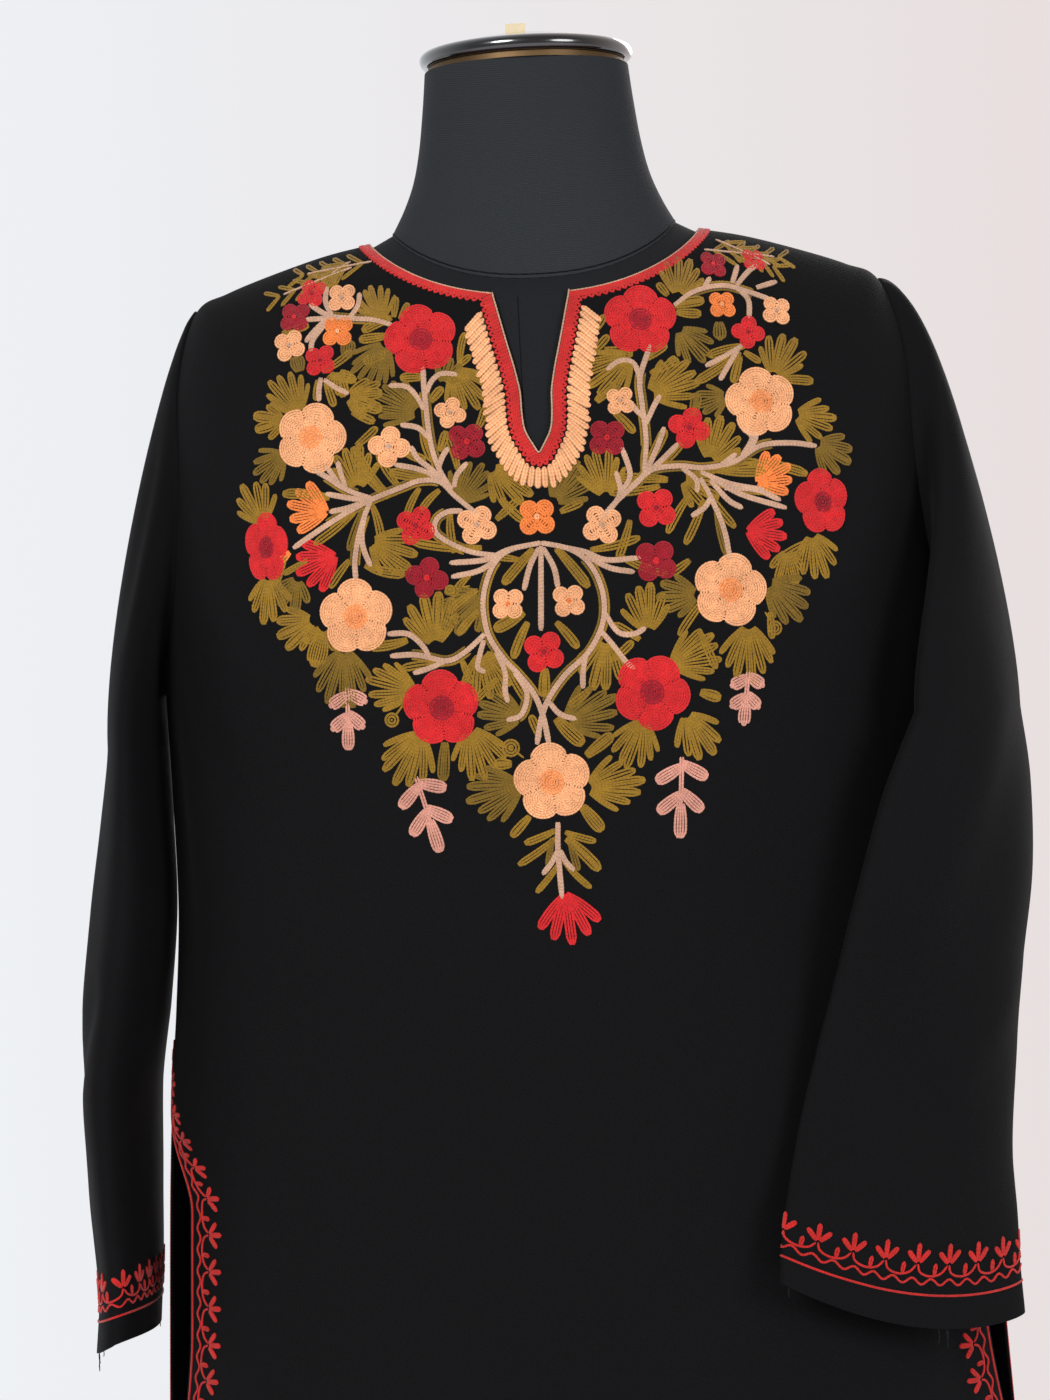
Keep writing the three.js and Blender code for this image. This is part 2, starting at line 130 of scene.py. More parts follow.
# Creases of the worn cloth, each a soft line from one place to another.
# Columns: angle and height of its start, angle and height of its end, depth, half width in mm
CREASES = [
    [-72, 1236, -52, 1092, -2.6, 17],
    [-66, 1262, -44, 1150, 1.6, 13],
    [-80, 1165, -66, 960, -2.2, 16],
    [66, 1240, 50, 1120, -2.4, 16],
    [58, 1268, 40, 1168, 1.4, 13],
    [-30, 1120, -26, 870, 1.6, 24],
    [-14, 1098, -19, 800, -1.8, 22],
    [9, 1090, 7, 740, 1.5, 26],
    [31, 1110, 34, 790, -1.7, 24],
    [-47, 1010, -52, 640, 2.2, 20],
    [55, 900, 60, 560, -2.2, 18],
    [-58, 720, -61, 420, 1.8, 15],
    [28, 700, 32, 410, 2.0, 18],
    [-22, 620, -25, 405, -1.8, 17],
    [0, 560, 2, 405, 1.6, 20],
    [113, 1250, 134, 1120, -2.4, 17],
    [-112, 1244, -131, 1104, -2.6, 18],
    [128, 1280, 150, 1180, 1.5, 14],
    [-127, 1276, -148, 1172, 1.6, 14],
    [150, 1130, 146, 820, 2.2, 22],
    [-158, 1120, -155, 790, -2.4, 24],
    [176, 1100, 178, 760, -1.9, 22],
    [-128, 980, -124, 620, 2.2, 19],
    [126, 940, 121, 560, -2.1, 18],
    [158, 690, 155, 410, -2.2, 17],
    [-172, 640, -170, 405, 2.0, 19],
]
CREASE_ARC = 195.0     # radius that turns a crease's angle into a distance round the body

ARMHOLE_FRONT = 20
ARMHOLE_BACK = 26
ARMHOLE_CURVE = 0.7
SLIT_FRONT_PULL = 22
SLIT_BACK_PULL = -2.5
SLIT_CLOSE = 0.5
SLIT_CLOSE_START = 14.8
SLIT_CLOSE_END = 16.5

# The slit below the front neckline. Columns: share of the depth, half width
NECK_SLIT = np.array([
    [-0.2, 22], [0, 20], [0.11, 17.7], [0.31, 13.7], [0.49, 9.8], [0.633, 7.4], [0.757, 7.3],
    [0.87, 6.4], [1, 0],
])
NECK_SLIT_X = -4.0
NECK_SLIT_TOP = 1364.0
NECK_SLIT_DEPTH = 88.0

# Sleeves. Columns: height, angle round the body, half flat width, half thickness, gap to the body,
# straightness, rise of the front edge, drop of the outer side
LEFT_SLEEVE = [
    [1130, 90, 86, 15, 2.2, 1, 0, 0],
    [1086, 90, 84, 18, 2.2, 1, 0, 0],
    [1040, 90, 83, 21.5, 2.2, 1, 0, 0],
    [990, 91, 81, 22, 5, 1, 0, 0],
    [945, 92, 80, 19.5, 9, 1, 0, 0],
    [895, 92, 78, 17, 8.5, 1, 1, 2],
    [850, 91, 77, 15.5, 7, 1, 2, 6],
    [813, 90, 76, 16.5, 7, 1, 4, 12],
]
RIGHT_SLEEVE = [
    [1130, 77, 86, 18, 2.5, 0.6, 0, 0],
    [1090, 71, 84, 20, 2.5, 0.5, 0, 0],
    [1040, 67, 82, 20, 2.5, 0.3, 0, 0],
    [990, 62, 79, 15, 2.5, 0.15, 2, 0],
    [940, 55, 76, 11, 2, 0.1, 5, 0],
    [890, 48, 71, 10, 2, 0.1, 9, 1],
    [850, 43, 70, 13, 2.5, 0.55, 12, 1],
    [813, 41, 72, 15, 2.5, 0.85, 15, 2],
]
RISE_BEND = 0.85
SLEEVE_PROUD = 1.0
LEFT_REACH_TOP = 26
RIGHT_REACH_TOP = 90
SLEEVE_REACH_UNDERARM = 10
# Creases of the sleeves. Columns: turn round the sleeve (0 outer, 90 back, 270 front) and height of
# the start, the same of the end, depth, half width in mm
LEFT_SLEEVE_CREASES = [
    [330, 1330, 300, 1180, -2.6, 13],
    [25, 1310, 60, 1150, -2.4, 14],
    [350, 1120, 320, 960, 2.4, 16],
    [15, 1070, 45, 930, -2.6, 15],
    [300, 1010, 340, 930, -2.4, 12],
    [340, 930, 330, 830, 1.8, 13],
    [40, 900, 30, 820, -1.8, 12],
]
RIGHT_SLEEVE_CREASES = [
    [335, 1330, 305, 1190, -2.6, 13],
    [20, 1310, 50, 1160, -2.6, 15],
    [345, 1180, 320, 1010, 2.6, 17],
    [10, 1130, 340, 960, -3.0, 17],
    [300, 1060, 330, 940, -2.4, 13],
    [20, 1000, 350, 900, 2.6, 15],
    [330, 960, 10, 890, -2.8, 13],
    [320, 900, 325, 820, 1.6, 14],
]
SLEEVE_ARC = 60.0      # radius that turns a sleeve crease's turn into a distance

# The dress form. Columns as in BODY_RINGS
FORM_CLEARANCE = 0.5
FRONT_SEAM_X = -11.0
CAD_CLOTH = 1.6
FORM_NECK_RING = [78, 62, 56, 1404, 1371, 1412]
FORM_BODY_RINGS = [
    [184, 104, 97, 1345, 1242, 1247],
    [176, 105, 95, 1310, 1216, 1221],
    [163, 109, 94, 1265, 1190, 1195],
    [152, 115, 92, 1210, 1166, 1166],
    [147, 118, 90, 1160, 1144, 1144],
    [138, 108, 84, 1110, 1104, 1104],
    [125, 93, 76, 1062, 1062, 1062],
    [119, 86, 74, 1030, 1030, 1030],
    [129, 90, 84, 980, 980, 980],
    [150, 98, 103, 920, 920, 920],
    [165, 103, 115, 860, 860, 860],
    [167, 103, 113, 805, 805, 805],
    [160, 98, 106, 745, 745, 745],
    [148, 90, 98, 700, 700, 700],
]
FORM_NECK_RINGS = [
    [71, 57, 53, 1417, 1396, 1423],
    [65, 54, 52, 1432, 1423, 1436],
    [61, 52.5, 52, 1450, 1447, 1452],
    [58, 52, 52, 1472, 1471, 1473],
    [56, 52, 52, 1491, 1491, 1491],
]

# Thread. Chain stitch shows as two plaited strands with a furrow between them.
THREAD_WIDTH = 1.65
ROW_PITCH = 1.5
THREAD_HEIGHT = 0.75
STITCH = 1.9
STITCH_SAMPLES = 2
SHORTEST_ROW = 0.8
# Columns across a row of stitches: share of the half width, share of the height
STITCH_SECTION = np.array([[-1, -0.4], [-0.42, 1.0], [0.42, 1.0], [1, -0.4]])
FLOWER_LIFT = 0.4      # flowers lie over the stalks and leaves
PETAL_PITCH = ROW_PITCH * 0.84
# Shares of a flower's radius by its number of petals: a petal, the heart, the rows under the petals
FLOWER_SHARES = {4: (0.47, 0.17, 0.62), 5: (0.52, 0.33, 0.82)}
LEAF_SPREAD = 92.0
FAN_SPREAD = 128.0


def radians(angle):
    return np.asarray(angle, float) * math.pi / 180


def unit(vectors):
    return vectors / np.maximum(np.linalg.norm(vectors, axis=-1, keepdims=True), 1e-9)


def left_of(direction):
    """Flat directions turned a quarter to the left."""
    return np.stack([-direction[..., 1], direction[..., 0]], -1)


def lengths_across(grid):
    """Distances along each row of a grid of points, from its first column."""
    steps = np.linalg.norm(np.diff(grid, axis=1), axis=-1)
    return np.concatenate([np.zeros((len(grid), 1)), np.cumsum(steps, 1)], 1)


def lengths_along(line):
    """Distances along a line of points, from its start."""
    return lengths_across(np.asarray(line)[None])[0]


def values_at(where, places, values):
    """Rows of values at where, between the rows known at some places."""
    return np.stack([np.interp(where, places, column) for column in values.T], -1)


def on_axis(heights):
    """Points on the body's upright axis."""
    return np.stack(np.broadcast_arrays(0.0, 0.0, heights), -1)


def add_object(name, data):
    made = bpy.data.objects.new(name, data)
    bpy.context.scene.collection.objects.link(made)
    return made


def rows_at(table, place):
    """Smooth rows between the rows of a table. Above the first row it runs on straight."""
    table = np.asarray(table, float)
    place = np.asarray(place, float)
    last = len(table) - 1
    inside = np.clip(place, 0, last)
    k = np.minimum(inside.astype(int), last - 1)
    w = (inside - k)[..., None]
    p0, p1, p2, p3 = (table[np.clip(k + i, 0, last)] for i in (-1, 0, 1, 2))
    bend = 2 * p0 - 5 * p1 + 4 * p2 - p3
    twist = 3 * p1 - 3 * p2 + p3 - p0
    smooth = p1 + 0.5 * w * (p2 - p0 + w * (bend + w * twist))
    return smooth + np.minimum(place, 0)[..., None] * (table[1] - table[0])


def ring_points(rows, angle):
    """Points of rings at angles round the body, 0 at centre front and positive towards +X."""
    half_width, front, back, z_side, z_front, z_back = np.moveaxis(rows, -1, 0)
    side = np.sin(angle)
    ahead = np.cos(angle)
    power = 2 / ROUNDNESS
    depth = np.where(ahead >= 0, front, back)
    drop = np.where(ahead >= 0, z_front, z_back) - z_side
    x = half_width * np.sign(side) * np.abs(side) ** power
    y = -depth * np.sign(ahead) * np.abs(ahead) ** power
    return np.stack([x, y, z_side + drop * np.abs(ahead) ** SLOPE_POWER], -1)


def turn_between(angle, centre):
    return np.arctan2(np.sin(angle - centre), np.cos(angle - centre))


def crease_depth(creases, arc, z, angle):
    """The push of soft creases that each run from one place to another and fade out at both ends."""
    push = np.zeros_like(z)
    for start_angle, start_z, end_angle, end_z, depth, half_width in creases:
        start = math.radians(start_angle)
        run = np.array([turn_between(math.radians(end_angle), start) * arc, end_z - start_z])
        length = np.hypot(*run)
        along_unit = run / length
        s = turn_between(angle, start) * arc
        t = z - start_z
        along = (s * along_unit[0] + t * along_unit[1]) / length
        across = (s * along_unit[1] - t * along_unit[0]) / half_width
        fade = np.sin(np.pi * np.clip(along, 0, 1)) ** 0.8
        across = across + 0.35 * np.sin(3.1 * along + start_angle)
        push += depth * fade * np.exp(-across ** 2)
    return push


def body_push(z, angle):
    push = crease_depth(CREASES, CREASE_ARC, z, angle)
    for top_angle, hem_angle, top, depth, half_width in SKIRT_FOLDS:
        share = np.clip((top - z) / (top - HEM_HEIGHT), 0, None)
        centre = radians(top_angle + (hem_angle - top_angle) * share)
        away = turn_between(angle, centre) / math.radians(half_width)
        push += depth * np.sin(share * math.pi / 2) * np.exp(-away ** 2)
    return push


def body_points(place, angle):
    place, angle = np.broadcast_arrays(np.asarray(place, float), np.asarray(angle, float))
    points = ring_points(rows_at(BODY_RINGS, place), angle)
    push = body_push(points[..., 2], angle)
    points[..., 0] += push * np.sin(angle)
    points[..., 1] -= push * np.cos(angle)
    return points


def body_normals(place, angle):
    step = 0.02
    above = body_points(np.maximum(place - step, 0), angle)
    below = body_points(np.minimum(place + step, HEM_RING), angle)
    along = body_points(place, angle + step) - body_points(place, angle - step)
    return unit(np.cross(below - above, along))


def smooth_step(share):
    ease = np.clip(share, 0, 1)
    return ease * ease * (3 - 2 * ease)


def panel_edge(place, armhole, slit_pull):
    """Half the angle that a panel covers: 90 degrees, less the armhole or the open slit."""
    share = np.clip((place - SHOULDER_RING) / (UNDERARM_RING - SHOULDER_RING), 0, 1)
    scoop = armhole * np.abs(np.sin(np.pi * share)) ** ARMHOLE_CURVE
    opened = smooth_step(place - SLIT_RING)
    closed = SLIT_CLOSE * smooth_step((place - SLIT_CLOSE_START) / (SLIT_CLOSE_END - SLIT_CLOSE_START))
    return radians(90 - scoop - slit_pull * (opened - closed))


def slit_half_width(z):
    return np.interp((NECK_SLIT_TOP - z) / NECK_SLIT_DEPTH, NECK_SLIT[:, 0], NECK_SLIT[:, 1])


def slit_angle(place, side):
    """The angle of the neck slit's left (-1) or right (1) edge. Below the slit both meet."""
    rows = rows_at(BODY_RINGS, place)
    z = rows[..., 4]
    for _ in range(3):
        x = NECK_SLIT_X + side * slit_half_width(z)
        angle = np.sign(x) * np.arcsin((np.abs(x) / rows[..., 0]) ** (ROUNDNESS / 2))
        z = ring_points(rows, angle)[..., 2]
    return angle


def make_object(name, points, faces, material, uv=None, smooth_angle=40):
    """A mesh object from points in millimetres, riding on the part's one body.

    Faces are rows of an array, or a list of such arrays with different numbers of corners.
    uv has a row for each corner of each face, in the same order."""
    if not isinstance(faces, list):
        faces = [faces]
    corners = np.concatenate([np.full(len(group), group.shape[1]) for group in faces])
    loops = np.concatenate([group.ravel() for group in faces]).astype(np.int32)
    mesh = bpy.data.meshes.new(name)
    mesh.vertices.add(len(points))
    mesh.vertices.foreach_set("co", (np.asarray(points, float) * MM).ravel())
    mesh.loops.add(len(loops))
    mesh.loops.foreach_set("vertex_index", loops)
    mesh.polygons.add(len(corners))
    mesh.polygons.foreach_set("loop_start", np.concatenate([[0], np.cumsum(corners)[:-1]]).astype(np.int32))
    mesh.update(calc_edges=True)
    if uv is not None:
        layer = mesh.uv_layers.new(name="cloth")
        layer.data.foreach_set("uv", (np.asarray(uv) * MM).ravel())
    mesh.shade_smooth()
    if smooth_angle:
        mesh.set_sharp_from_angle(angle=math.radians(smooth_angle))
    mesh.materials.append(material)
    piece = add_object(name, mesh)
    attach(piece, "root")
    return piece


def cloth_coordinates(grid, tube=False):
    """Distances across and down a grid of points, from its middle column. A tube has one column more."""
    if tube:
        grid = np.concatenate([grid, grid[:, :1]], 1)
    middle = grid.shape[1] // 2
    s = lengths_across(grid)
    s -= s[:, middle][:, None]
    t = np.broadcast_to(lengths_along(grid[:, middle])[:, None], s.shape)
    return np.stack([s, t], -1)


def corner_values(grid, left, right):
    """The values of a grid at the corners of its quads, facing out."""
    return np.stack([grid[:-1, left], grid[1:, left], grid[1:, right], grid[:-1, right]], 2)


def loft(name, rings, material, smooth_angle=40):
    """A closed solid through rings of points, from its top to its foot, with flat ends."""
    rows, columns = rings.shape[:2]
    index = np.arange(rows * columns).reshape(rows, columns)
    after = np.roll(index, -1, 1)
    left = np.arange(columns)
    sides = corner_values(index, left, (left + 1) % columns).reshape(-1, 4)
    top = np.full(columns, rows * columns)
    ends = [np.stack([top, index[0], after[0]], -1), np.stack([top + 1, after[-1], index[-1]], -1)]
    points = np.concatenate([rings.reshape(-1, 3), rings[:1].mean(1), rings[-1:].mean(1)])
    side_uv = corner_values(cloth_coordinates(rings, tube=True), left, left + 1).reshape(-1, 2)
    uv = np.concatenate([side_uv] + [points[end][..., :2].reshape(-1, 2) for end in ends])
    return make_object(name, points, [sides, np.concatenate(ends)], material, uv, smooth_angle)


def lathe(name, outline, foot, material):
    """A closed solid of revolution. The outline runs up from the foot, by radius and height."""
    outline = np.array(outline, float)[::-1]
    x = outline[:, :1] * np.sin(TURN)
    y = -outline[:, :1] * np.cos(TURN)
    z = np.broadcast_to(foot + outline[:, 1:], x.shape)
    return loft(name, np.stack([x, y, z], -1), material, smooth_angle=30)


def wall_mesh(outer, inner, tube=False, split=None, open_rows=0):
    """Points, quads and cloth coordinates of a wall between two grids.

    With split, the columns split and split + 1 stand apart down to open_rows and are one below it."""
    rows, columns = outer.shape[:2]
    index = np.arange(rows * columns).reshape(rows, columns)
    if split is not None:
        index[open_rows:, split + 1] = index[open_rows:, split]
    inside = index + rows * columns
    coordinates = cloth_coordinates(outer, tube)
    left = np.arange(columns if tube else columns - 1)
    if split is not None:
        left = left[left != split]
    right = (left + 1) % columns

    def sides(outer_grid, inner_grid, right_columns):
        """Corners of the wall's outer and inner faces and of its top and bottom edges."""
        outside = corner_values(outer_grid, left, right_columns)
        within = corner_values(inner_grid, left, right_columns)[:, :, ::-1]
        edges = []
        for row, order in ((0, (0, 1, 2, 3)), (-1, (0, 3, 2, 1))):
            corners = (outer_grid[row, left], outer_grid[row, right_columns],
                       inner_grid[row, right_columns], inner_grid[row, left])
            edges.append(np.stack([corners[k] for k in order], 1))
        tail = outer_grid.shape[2:]
        return [group.reshape(-1, 4, *tail) for group in (outside, within, *edges)]

    def edge_strip(outer_grid, inner_grid, column, last, facing_right):
        corners = (outer_grid[:last, column], inner_grid[:last, column],
                   inner_grid[1:last + 1, column], outer_grid[1:last + 1, column])
        order = (0, 3, 2, 1) if facing_right else (0, 1, 2, 3)
        return np.stack([corners[k] for k in order], 1)

    faces = sides(index, inside, right)
    uv = sides(coordinates, coordinates, left + 1)
    strips = [] if tube else [(0, rows - 1, False), (columns - 1, rows - 1, True)]
    if split is not None:
        strips += [(split, open_rows, True), (split + 1, open_rows, False)]
    for column, last, facing_right in strips:
        faces.append(edge_strip(index, inside, column, last, facing_right))
        uv.append(edge_strip(coordinates, coordinates, column, last, facing_right))
    faces = np.concatenate(faces)
    points = np.concatenate([outer.reshape(-1, 3), inner.reshape(-1, 3)])
    used, packed = np.unique(faces, return_inverse=True)
    return points[used], packed.reshape(faces.shape), np.concatenate(uv).reshape(-1, 2)


def panel(name, middle, armhole, slit_pull, neck_slit, material):
    place = np.linspace(0, HEM_RING, PANEL_ROWS)
    half = panel_edge(place, armhole, slit_pull)
    share = np.linspace(0, 1, PANEL_COLUMNS // 2)
    if neck_slit:
        left_end = slit_angle(place, -1)
        right_start = slit_angle(place, 1)
    else:
        left_end = right_start = np.zeros(PANEL_ROWS)
    left = -half[:, None] + (left_end + half)[:, None] * share
    right = right_start[:, None] + (half - right_start)[:, None] * share
    if not neck_slit:
        right = right[:, 1:]
    angle = middle + np.concatenate([left, right], 1)
    places = np.broadcast_to(place[:, None], angle.shape)
    outer = body_points(places, angle)
    normals = body_normals(places, angle)
    outer[..., 1] += SEAM_GAP / 2 * (-1 if middle == 0 else 1)
    inner = outer - normals * CLOTH
    split = None
    open_rows = 0
    if neck_slit:
        split = PANEL_COLUMNS // 2 - 1
        gap = np.linalg.norm(outer[:, split] - outer[:, split + 1], axis=-1)
        open_rows = int(np.argmax(gap < 0.05))
    points, faces, uv = wall_mesh(outer, inner, split=split, open_rows=open_rows)
    return make_object(name, points, faces, material, uv)


def armhole_loop(spans):
    """Points round the armhole's edge, the cloth's normals there, and the directions into the hole."""
    down = np.concatenate([np.arange(spans + 1), np.arange(spans - 1, 0, -1)])
    place = SHOULDER_RING + (UNDERARM_RING - SHOULDER_RING) * down / spans
    behind = np.arange(2 * spans) <= spans
    back_angle = math.pi - panel_edge(place, ARMHOLE_BACK, 0)
    angle = np.where(behind, back_angle, panel_edge(place, ARMHOLE_FRONT, 0))
    points = body_points(place, angle)
    normals = body_normals(place, angle)
    along = np.roll(points, -1, 0) - np.roll(points, 1, 0)
    return points, normals, unit(np.cross(along, normals))


def sleeve_rings(table, places, turns):
    """Rings of a hanging sleeve that lies along the body's side, or straight where the table says so."""
    rings = []
    side_heights = np.array([ring[3] for ring in BODY_RINGS[UNDERARM_RING:]], float)
    dense = radians(np.arange(-40, 231, 0.5))
    share = np.sin(turns)
    outward = 1 + np.cos(turns)
    for z, centre, half_width, half_thickness, gap, straight, rise, drop in rows_at(table, places):
        place = UNDERARM_RING + np.interp(-z, -side_heights, np.arange(len(side_heights)))
        ring = rows_at(BODY_RINGS, np.full(dense.shape, place))
        outline = ring_points(ring, dense)[:, :2]
        facing = -left_of(unit(np.gradient(outline, axis=0)))
        length = lengths_along(outline)
        start = np.interp(radians(centre), dense, length)
        at = start + half_width * share
        middle_facing = values_at(start, length, facing)
        flat = values_at(start, length, outline) + half_width * share[:, None] * left_of(middle_facing)
        base = values_at(at, length, outline) * (1 - straight) + flat * straight
        out = unit(values_at(at, length, facing) * (1 - straight) + middle_facing * straight)
        base += out * (gap + half_thickness * outward)[:, None]
        height = z + rise * (RISE_BEND * share ** 2 - share) - drop * outward / 2
        rings.append(np.concatenate([base, height[:, None]], -1))
    return np.array(rings)


def sleeve_grid(side, table, creases, reach_top):
    """Outer and inner points of a sleeve, from inside its armhole to its cuff."""
    points, normals, into_hole = armhole_loop(SLEEVE_SPANS)
    count = 2 * SLEEVE_SPANS
    turns = 2 * math.pi * np.arange(count) / count
    hanging = sleeve_rings(table, np.linspace(0, len(table) - 1, HANGING_RINGS), turns)
    first = hanging[0]
    start = points + into_hole * SEAM_GAP + normals * SLEEVE_PROUD
    reach = SLEEVE_REACH_UNDERARM + (reach_top - SLEEVE_REACH_UNDERARM) * (1 + np.cos(turns)) / 2
    distance = np.linalg.norm(start - first, axis=-1)
    head = [points + into_hole * SEAM_GAP - normals * CAD_CLOTH]
    for t in np.linspace(0, 1, HEAD_RINGS, endpoint=False) ** 1.3:
        ring = start * (2 * t ** 3 - 3 * t ** 2 + 1) + first * (3 * t ** 2 - 2 * t ** 3)
        ring[:, 0] += reach * (t ** 3 - 2 * t ** 2 + t)
        ring[:, 2] -= distance * (t ** 3 - t ** 2)
        head.append(ring)
    outer = np.concatenate([np.array(head), hanging])
    down = np.gradient(outer, axis=0)
    across = np.roll(outer, -1, 1) - np.roll(outer, 1, 1)
    out = unit(np.cross(down, across))
    # Creases fade out where the sleeve meets the armhole and where it lies against the body
    row = np.arange(len(outer))[:, None]
    ease = np.clip((row - 3) / 12, 0, 1) * np.clip((np.cos(turns) + 0.35) / 0.6, 0, 1)
    turn_grid = np.broadcast_to(turns, outer.shape[:2])
    push = crease_depth(creases, SLEEVE_ARC, outer[..., 2], turn_grid) * ease
    outer = outer + out * push[..., None]
    inner = outer - out * CLOTH
    for grid in (outer, inner):
        grid[..., 0] *= side
    return outer, inner


def sleeve(name, side, grids, material):
    outer, inner = (np.roll(grid, -SLEEVE_SPANS, 1) for grid in grids)
    if side < 0:
        outer = outer[:, ::-1]
        inner = inner[:, ::-1]
    points, faces, uv = wall_mesh(outer, inner, tube=True)
    return make_object(name, points, faces, material, uv)


class Patch:
    """A stretch of cloth that can be looked up by distance across, s, and distance along, t."""

    STEP = 1.5

    def __init__(self, t, points, s, inside):
        self.t = np.asarray(t, float)
        self.s = np.arange(s.min(), s.max(), self.STEP)
        self.grid = np.stack([values_at(self.s, s[r], points[r]) for r in range(len(self.t))])
        down = np.gradient(self.grid, axis=0)
        across = np.gradient(self.grid, axis=1)
        normals = unit(np.cross(down, across))
        facing = (normals * (self.grid - inside[:, None])).sum(-1).mean()
        self.normals = normals * math.copysign(1, facing)

    def look_up(self, grid, s, t):
        r = np.clip(np.interp(t, self.t, np.arange(len(self.t))), 0, len(self.t) - 1.001)
        c = np.clip((s - self.s[0]) / self.STEP, 0, len(self.s) - 1.001)
        i = r.astype(int)
        j = c.astype(int)
        u = (r - i)[..., None]
        v = (c - j)[..., None]
        upper = grid[i, j] * (1 - v) + grid[i, j + 1] * v
        lower = grid[i + 1, j] * (1 - v) + grid[i + 1, j + 1] * v
        return upper * (1 - u) + lower * u

    def at(self, s, t):
        return self.look_up(self.grid, s, t), unit(self.look_up(self.normals, s, t))


class Yoke(Patch):
    """The upper front. s runs from centre front towards +X, and t is the depth below TOP."""

    TOP = 1420.0
    BOTTOM = 1000.0
    ROW_STEP = 3.0
    HALF_ANGLE = 88.0
    TABLE_ROWS = (-1.6, 11.9)     # places on the body that reach past TOP and BOTTOM
    CHEST_Y = -105.0              # where the search for the seen place starts

    def __init__(self):
        heights = np.arange(self.TOP, self.BOTTOM, -self.ROW_STEP)
        angle = radians(np.linspace(-self.HALF_ANGLE, self.HALF_ANGLE, 177))
        sheet = body_points(np.linspace(*self.TABLE_ROWS, 260)[:, None], angle[None, :])
        rows = np.empty((len(heights), len(angle), 3))
        for c in range(len(angle)):
            rows[:, c] = values_at(-heights, -sheet[:, c, 2], sheet[:, c])
        rows[..., 2] = heights[:, None]
        s = lengths_across(rows)
        s -= s[:, len(angle) // 2][:, None]
        super().__init__(self.TOP - heights, rows, s, on_axis(heights))
        self.rows = rows
        self.row_s = s

    def row_near(self, z):
        return int(np.clip(round((self.TOP - z) / self.ROW_STEP), 0, len(self.t) - 1))

    def from_point(self, x, z):
        row = self.row_near(z)
        return float(np.interp(x, self.rows[row, :, 0], self.row_s[row])), self.TOP - z

    def from_photo(self, photo_x, photo_y):
        """(s, t) of the place on the cloth that the camera sees at a pixel of the photo."""
        right = photo_x - PHOTO_WIDTH / 2
        down = photo_y - PHOTO_HEIGHT / 2
        level_x = right * math.cos(CAMERA_ROLL) - down * math.sin(CAMERA_ROLL)
        level_y = right * math.sin(CAMERA_ROLL) + down * math.cos(CAMERA_ROLL)
        y = self.CHEST_Y
        for _ in range(6):
            scale = (CAMERA_DISTANCE + y) / FOCAL_PIXELS
            x = CAMERA_X + level_x * scale
            z = CAMERA_HEIGHT - level_y * scale
            row = self.row_near(z)
            y = np.interp(x, self.rows[row, :, 0], self.rows[row, :, 1])
        return self.from_point(x, z)


class NeckRings:
    """The cloth round the neck. s is the angle times RADIUS, and t the distance from the neck's edge."""

    RADIUS = 85.0
    RING_DEPTH = 25.0

    def at(self, s, t):
        angle = s / self.RADIUS
        place = t / self.RING_DEPTH
        return body_points(place, angle), body_normals(np.maximum(place, 0.03), angle)


class Threads:
    """Rows of chain stitch, gathered by the name of their thread."""

    def __init__(self):
        self.points = {}
        self.faces = {}
        self.coordinates = {}
        self.count = {}

    def row(self, thread, patch, s, t, **options):
        """One row of stitches along a line on a patch."""
        s = np.asarray(s, float)
        t = np.asarray(t, float)
        length = lengths_along(np.stack([s, t], -1))
        if length[-1] < SHORTEST_ROW:
            return
        samples = max(3, len(s) // 3, int(round(length[-1] / STITCH * STITCH_SAMPLES)))
        where = np.linspace(0, length[-1], samples + 1)
        points, normals = patch.at(np.interp(where, length, s), np.interp(where, length, t))
        self.strip(thread, points, normals, where, **options)

    def strip(self, thread, points, normals, where, width=THREAD_WIDTH, height=THREAD_HEIGHT, lift=0.0):
        """A row of stitches along points that lie at the distances in where."""
        along = unit(np.gradient(points, axis=0))
        across = unit(np.cross(normals, along))
        ends = np.minimum(1, np.minimum(where, where[-1] - where) / (0.45 * width) + 0.35)
        shares, levels = STITCH_SECTION.T
        phase = 2 * math.pi * (where / STITCH)[:, None] - 1.9 * (1 - np.abs(shares))
        relief = 0.84 + 0.16 * np.cos(phase)
        spread = 0.5 * width * ends[:, None] * shares * (0.94 + 0.06 * np.cos(phase))
        rise = height * (np.where(levels > 0, levels * relief, levels) * ends[:, None] ** 0.5) + lift
        grid = points[:, None] + across[:, None] * spread[..., None] + normals[:, None] * rise[..., None]
        rows, columns = grid.shape[:2]
        index = np.arange(rows * columns).reshape(rows, columns) + self.count.get(thread, 0)
        quads = np.stack([index[:-1, :-1], index[1:, :-1], index[1:, 1:], index[:-1, 1:]], -1)
        coordinates = np.stack(np.broadcast_arrays(where[:, None], shares), -1)
        self.coordinates.setdefault(thread, []).append(coordinates.reshape(-1, 2))
        self.points.setdefault(thread, []).append(grid.reshape(-1, 3))
        self.faces.setdefault(thread, []).append(quads.reshape(-1, 4))
        self.count[thread] = self.count.get(thread, 0) + rows * columns

    def build(self, materials):
        made = []
        for thread in self.points:
            points = np.concatenate(self.points[thread])
            faces = np.concatenate(self.faces[thread])[:, ::-1]
            colour = thread.split(".")[-1]
            name = "thread_" + thread.replace(".", "_")
            uv = np.concatenate(self.coordinates[thread])[faces].reshape(-1, 2)
            made.append(make_object(name, points, faces, materials[colour], uv, smooth_angle=0))
        return made


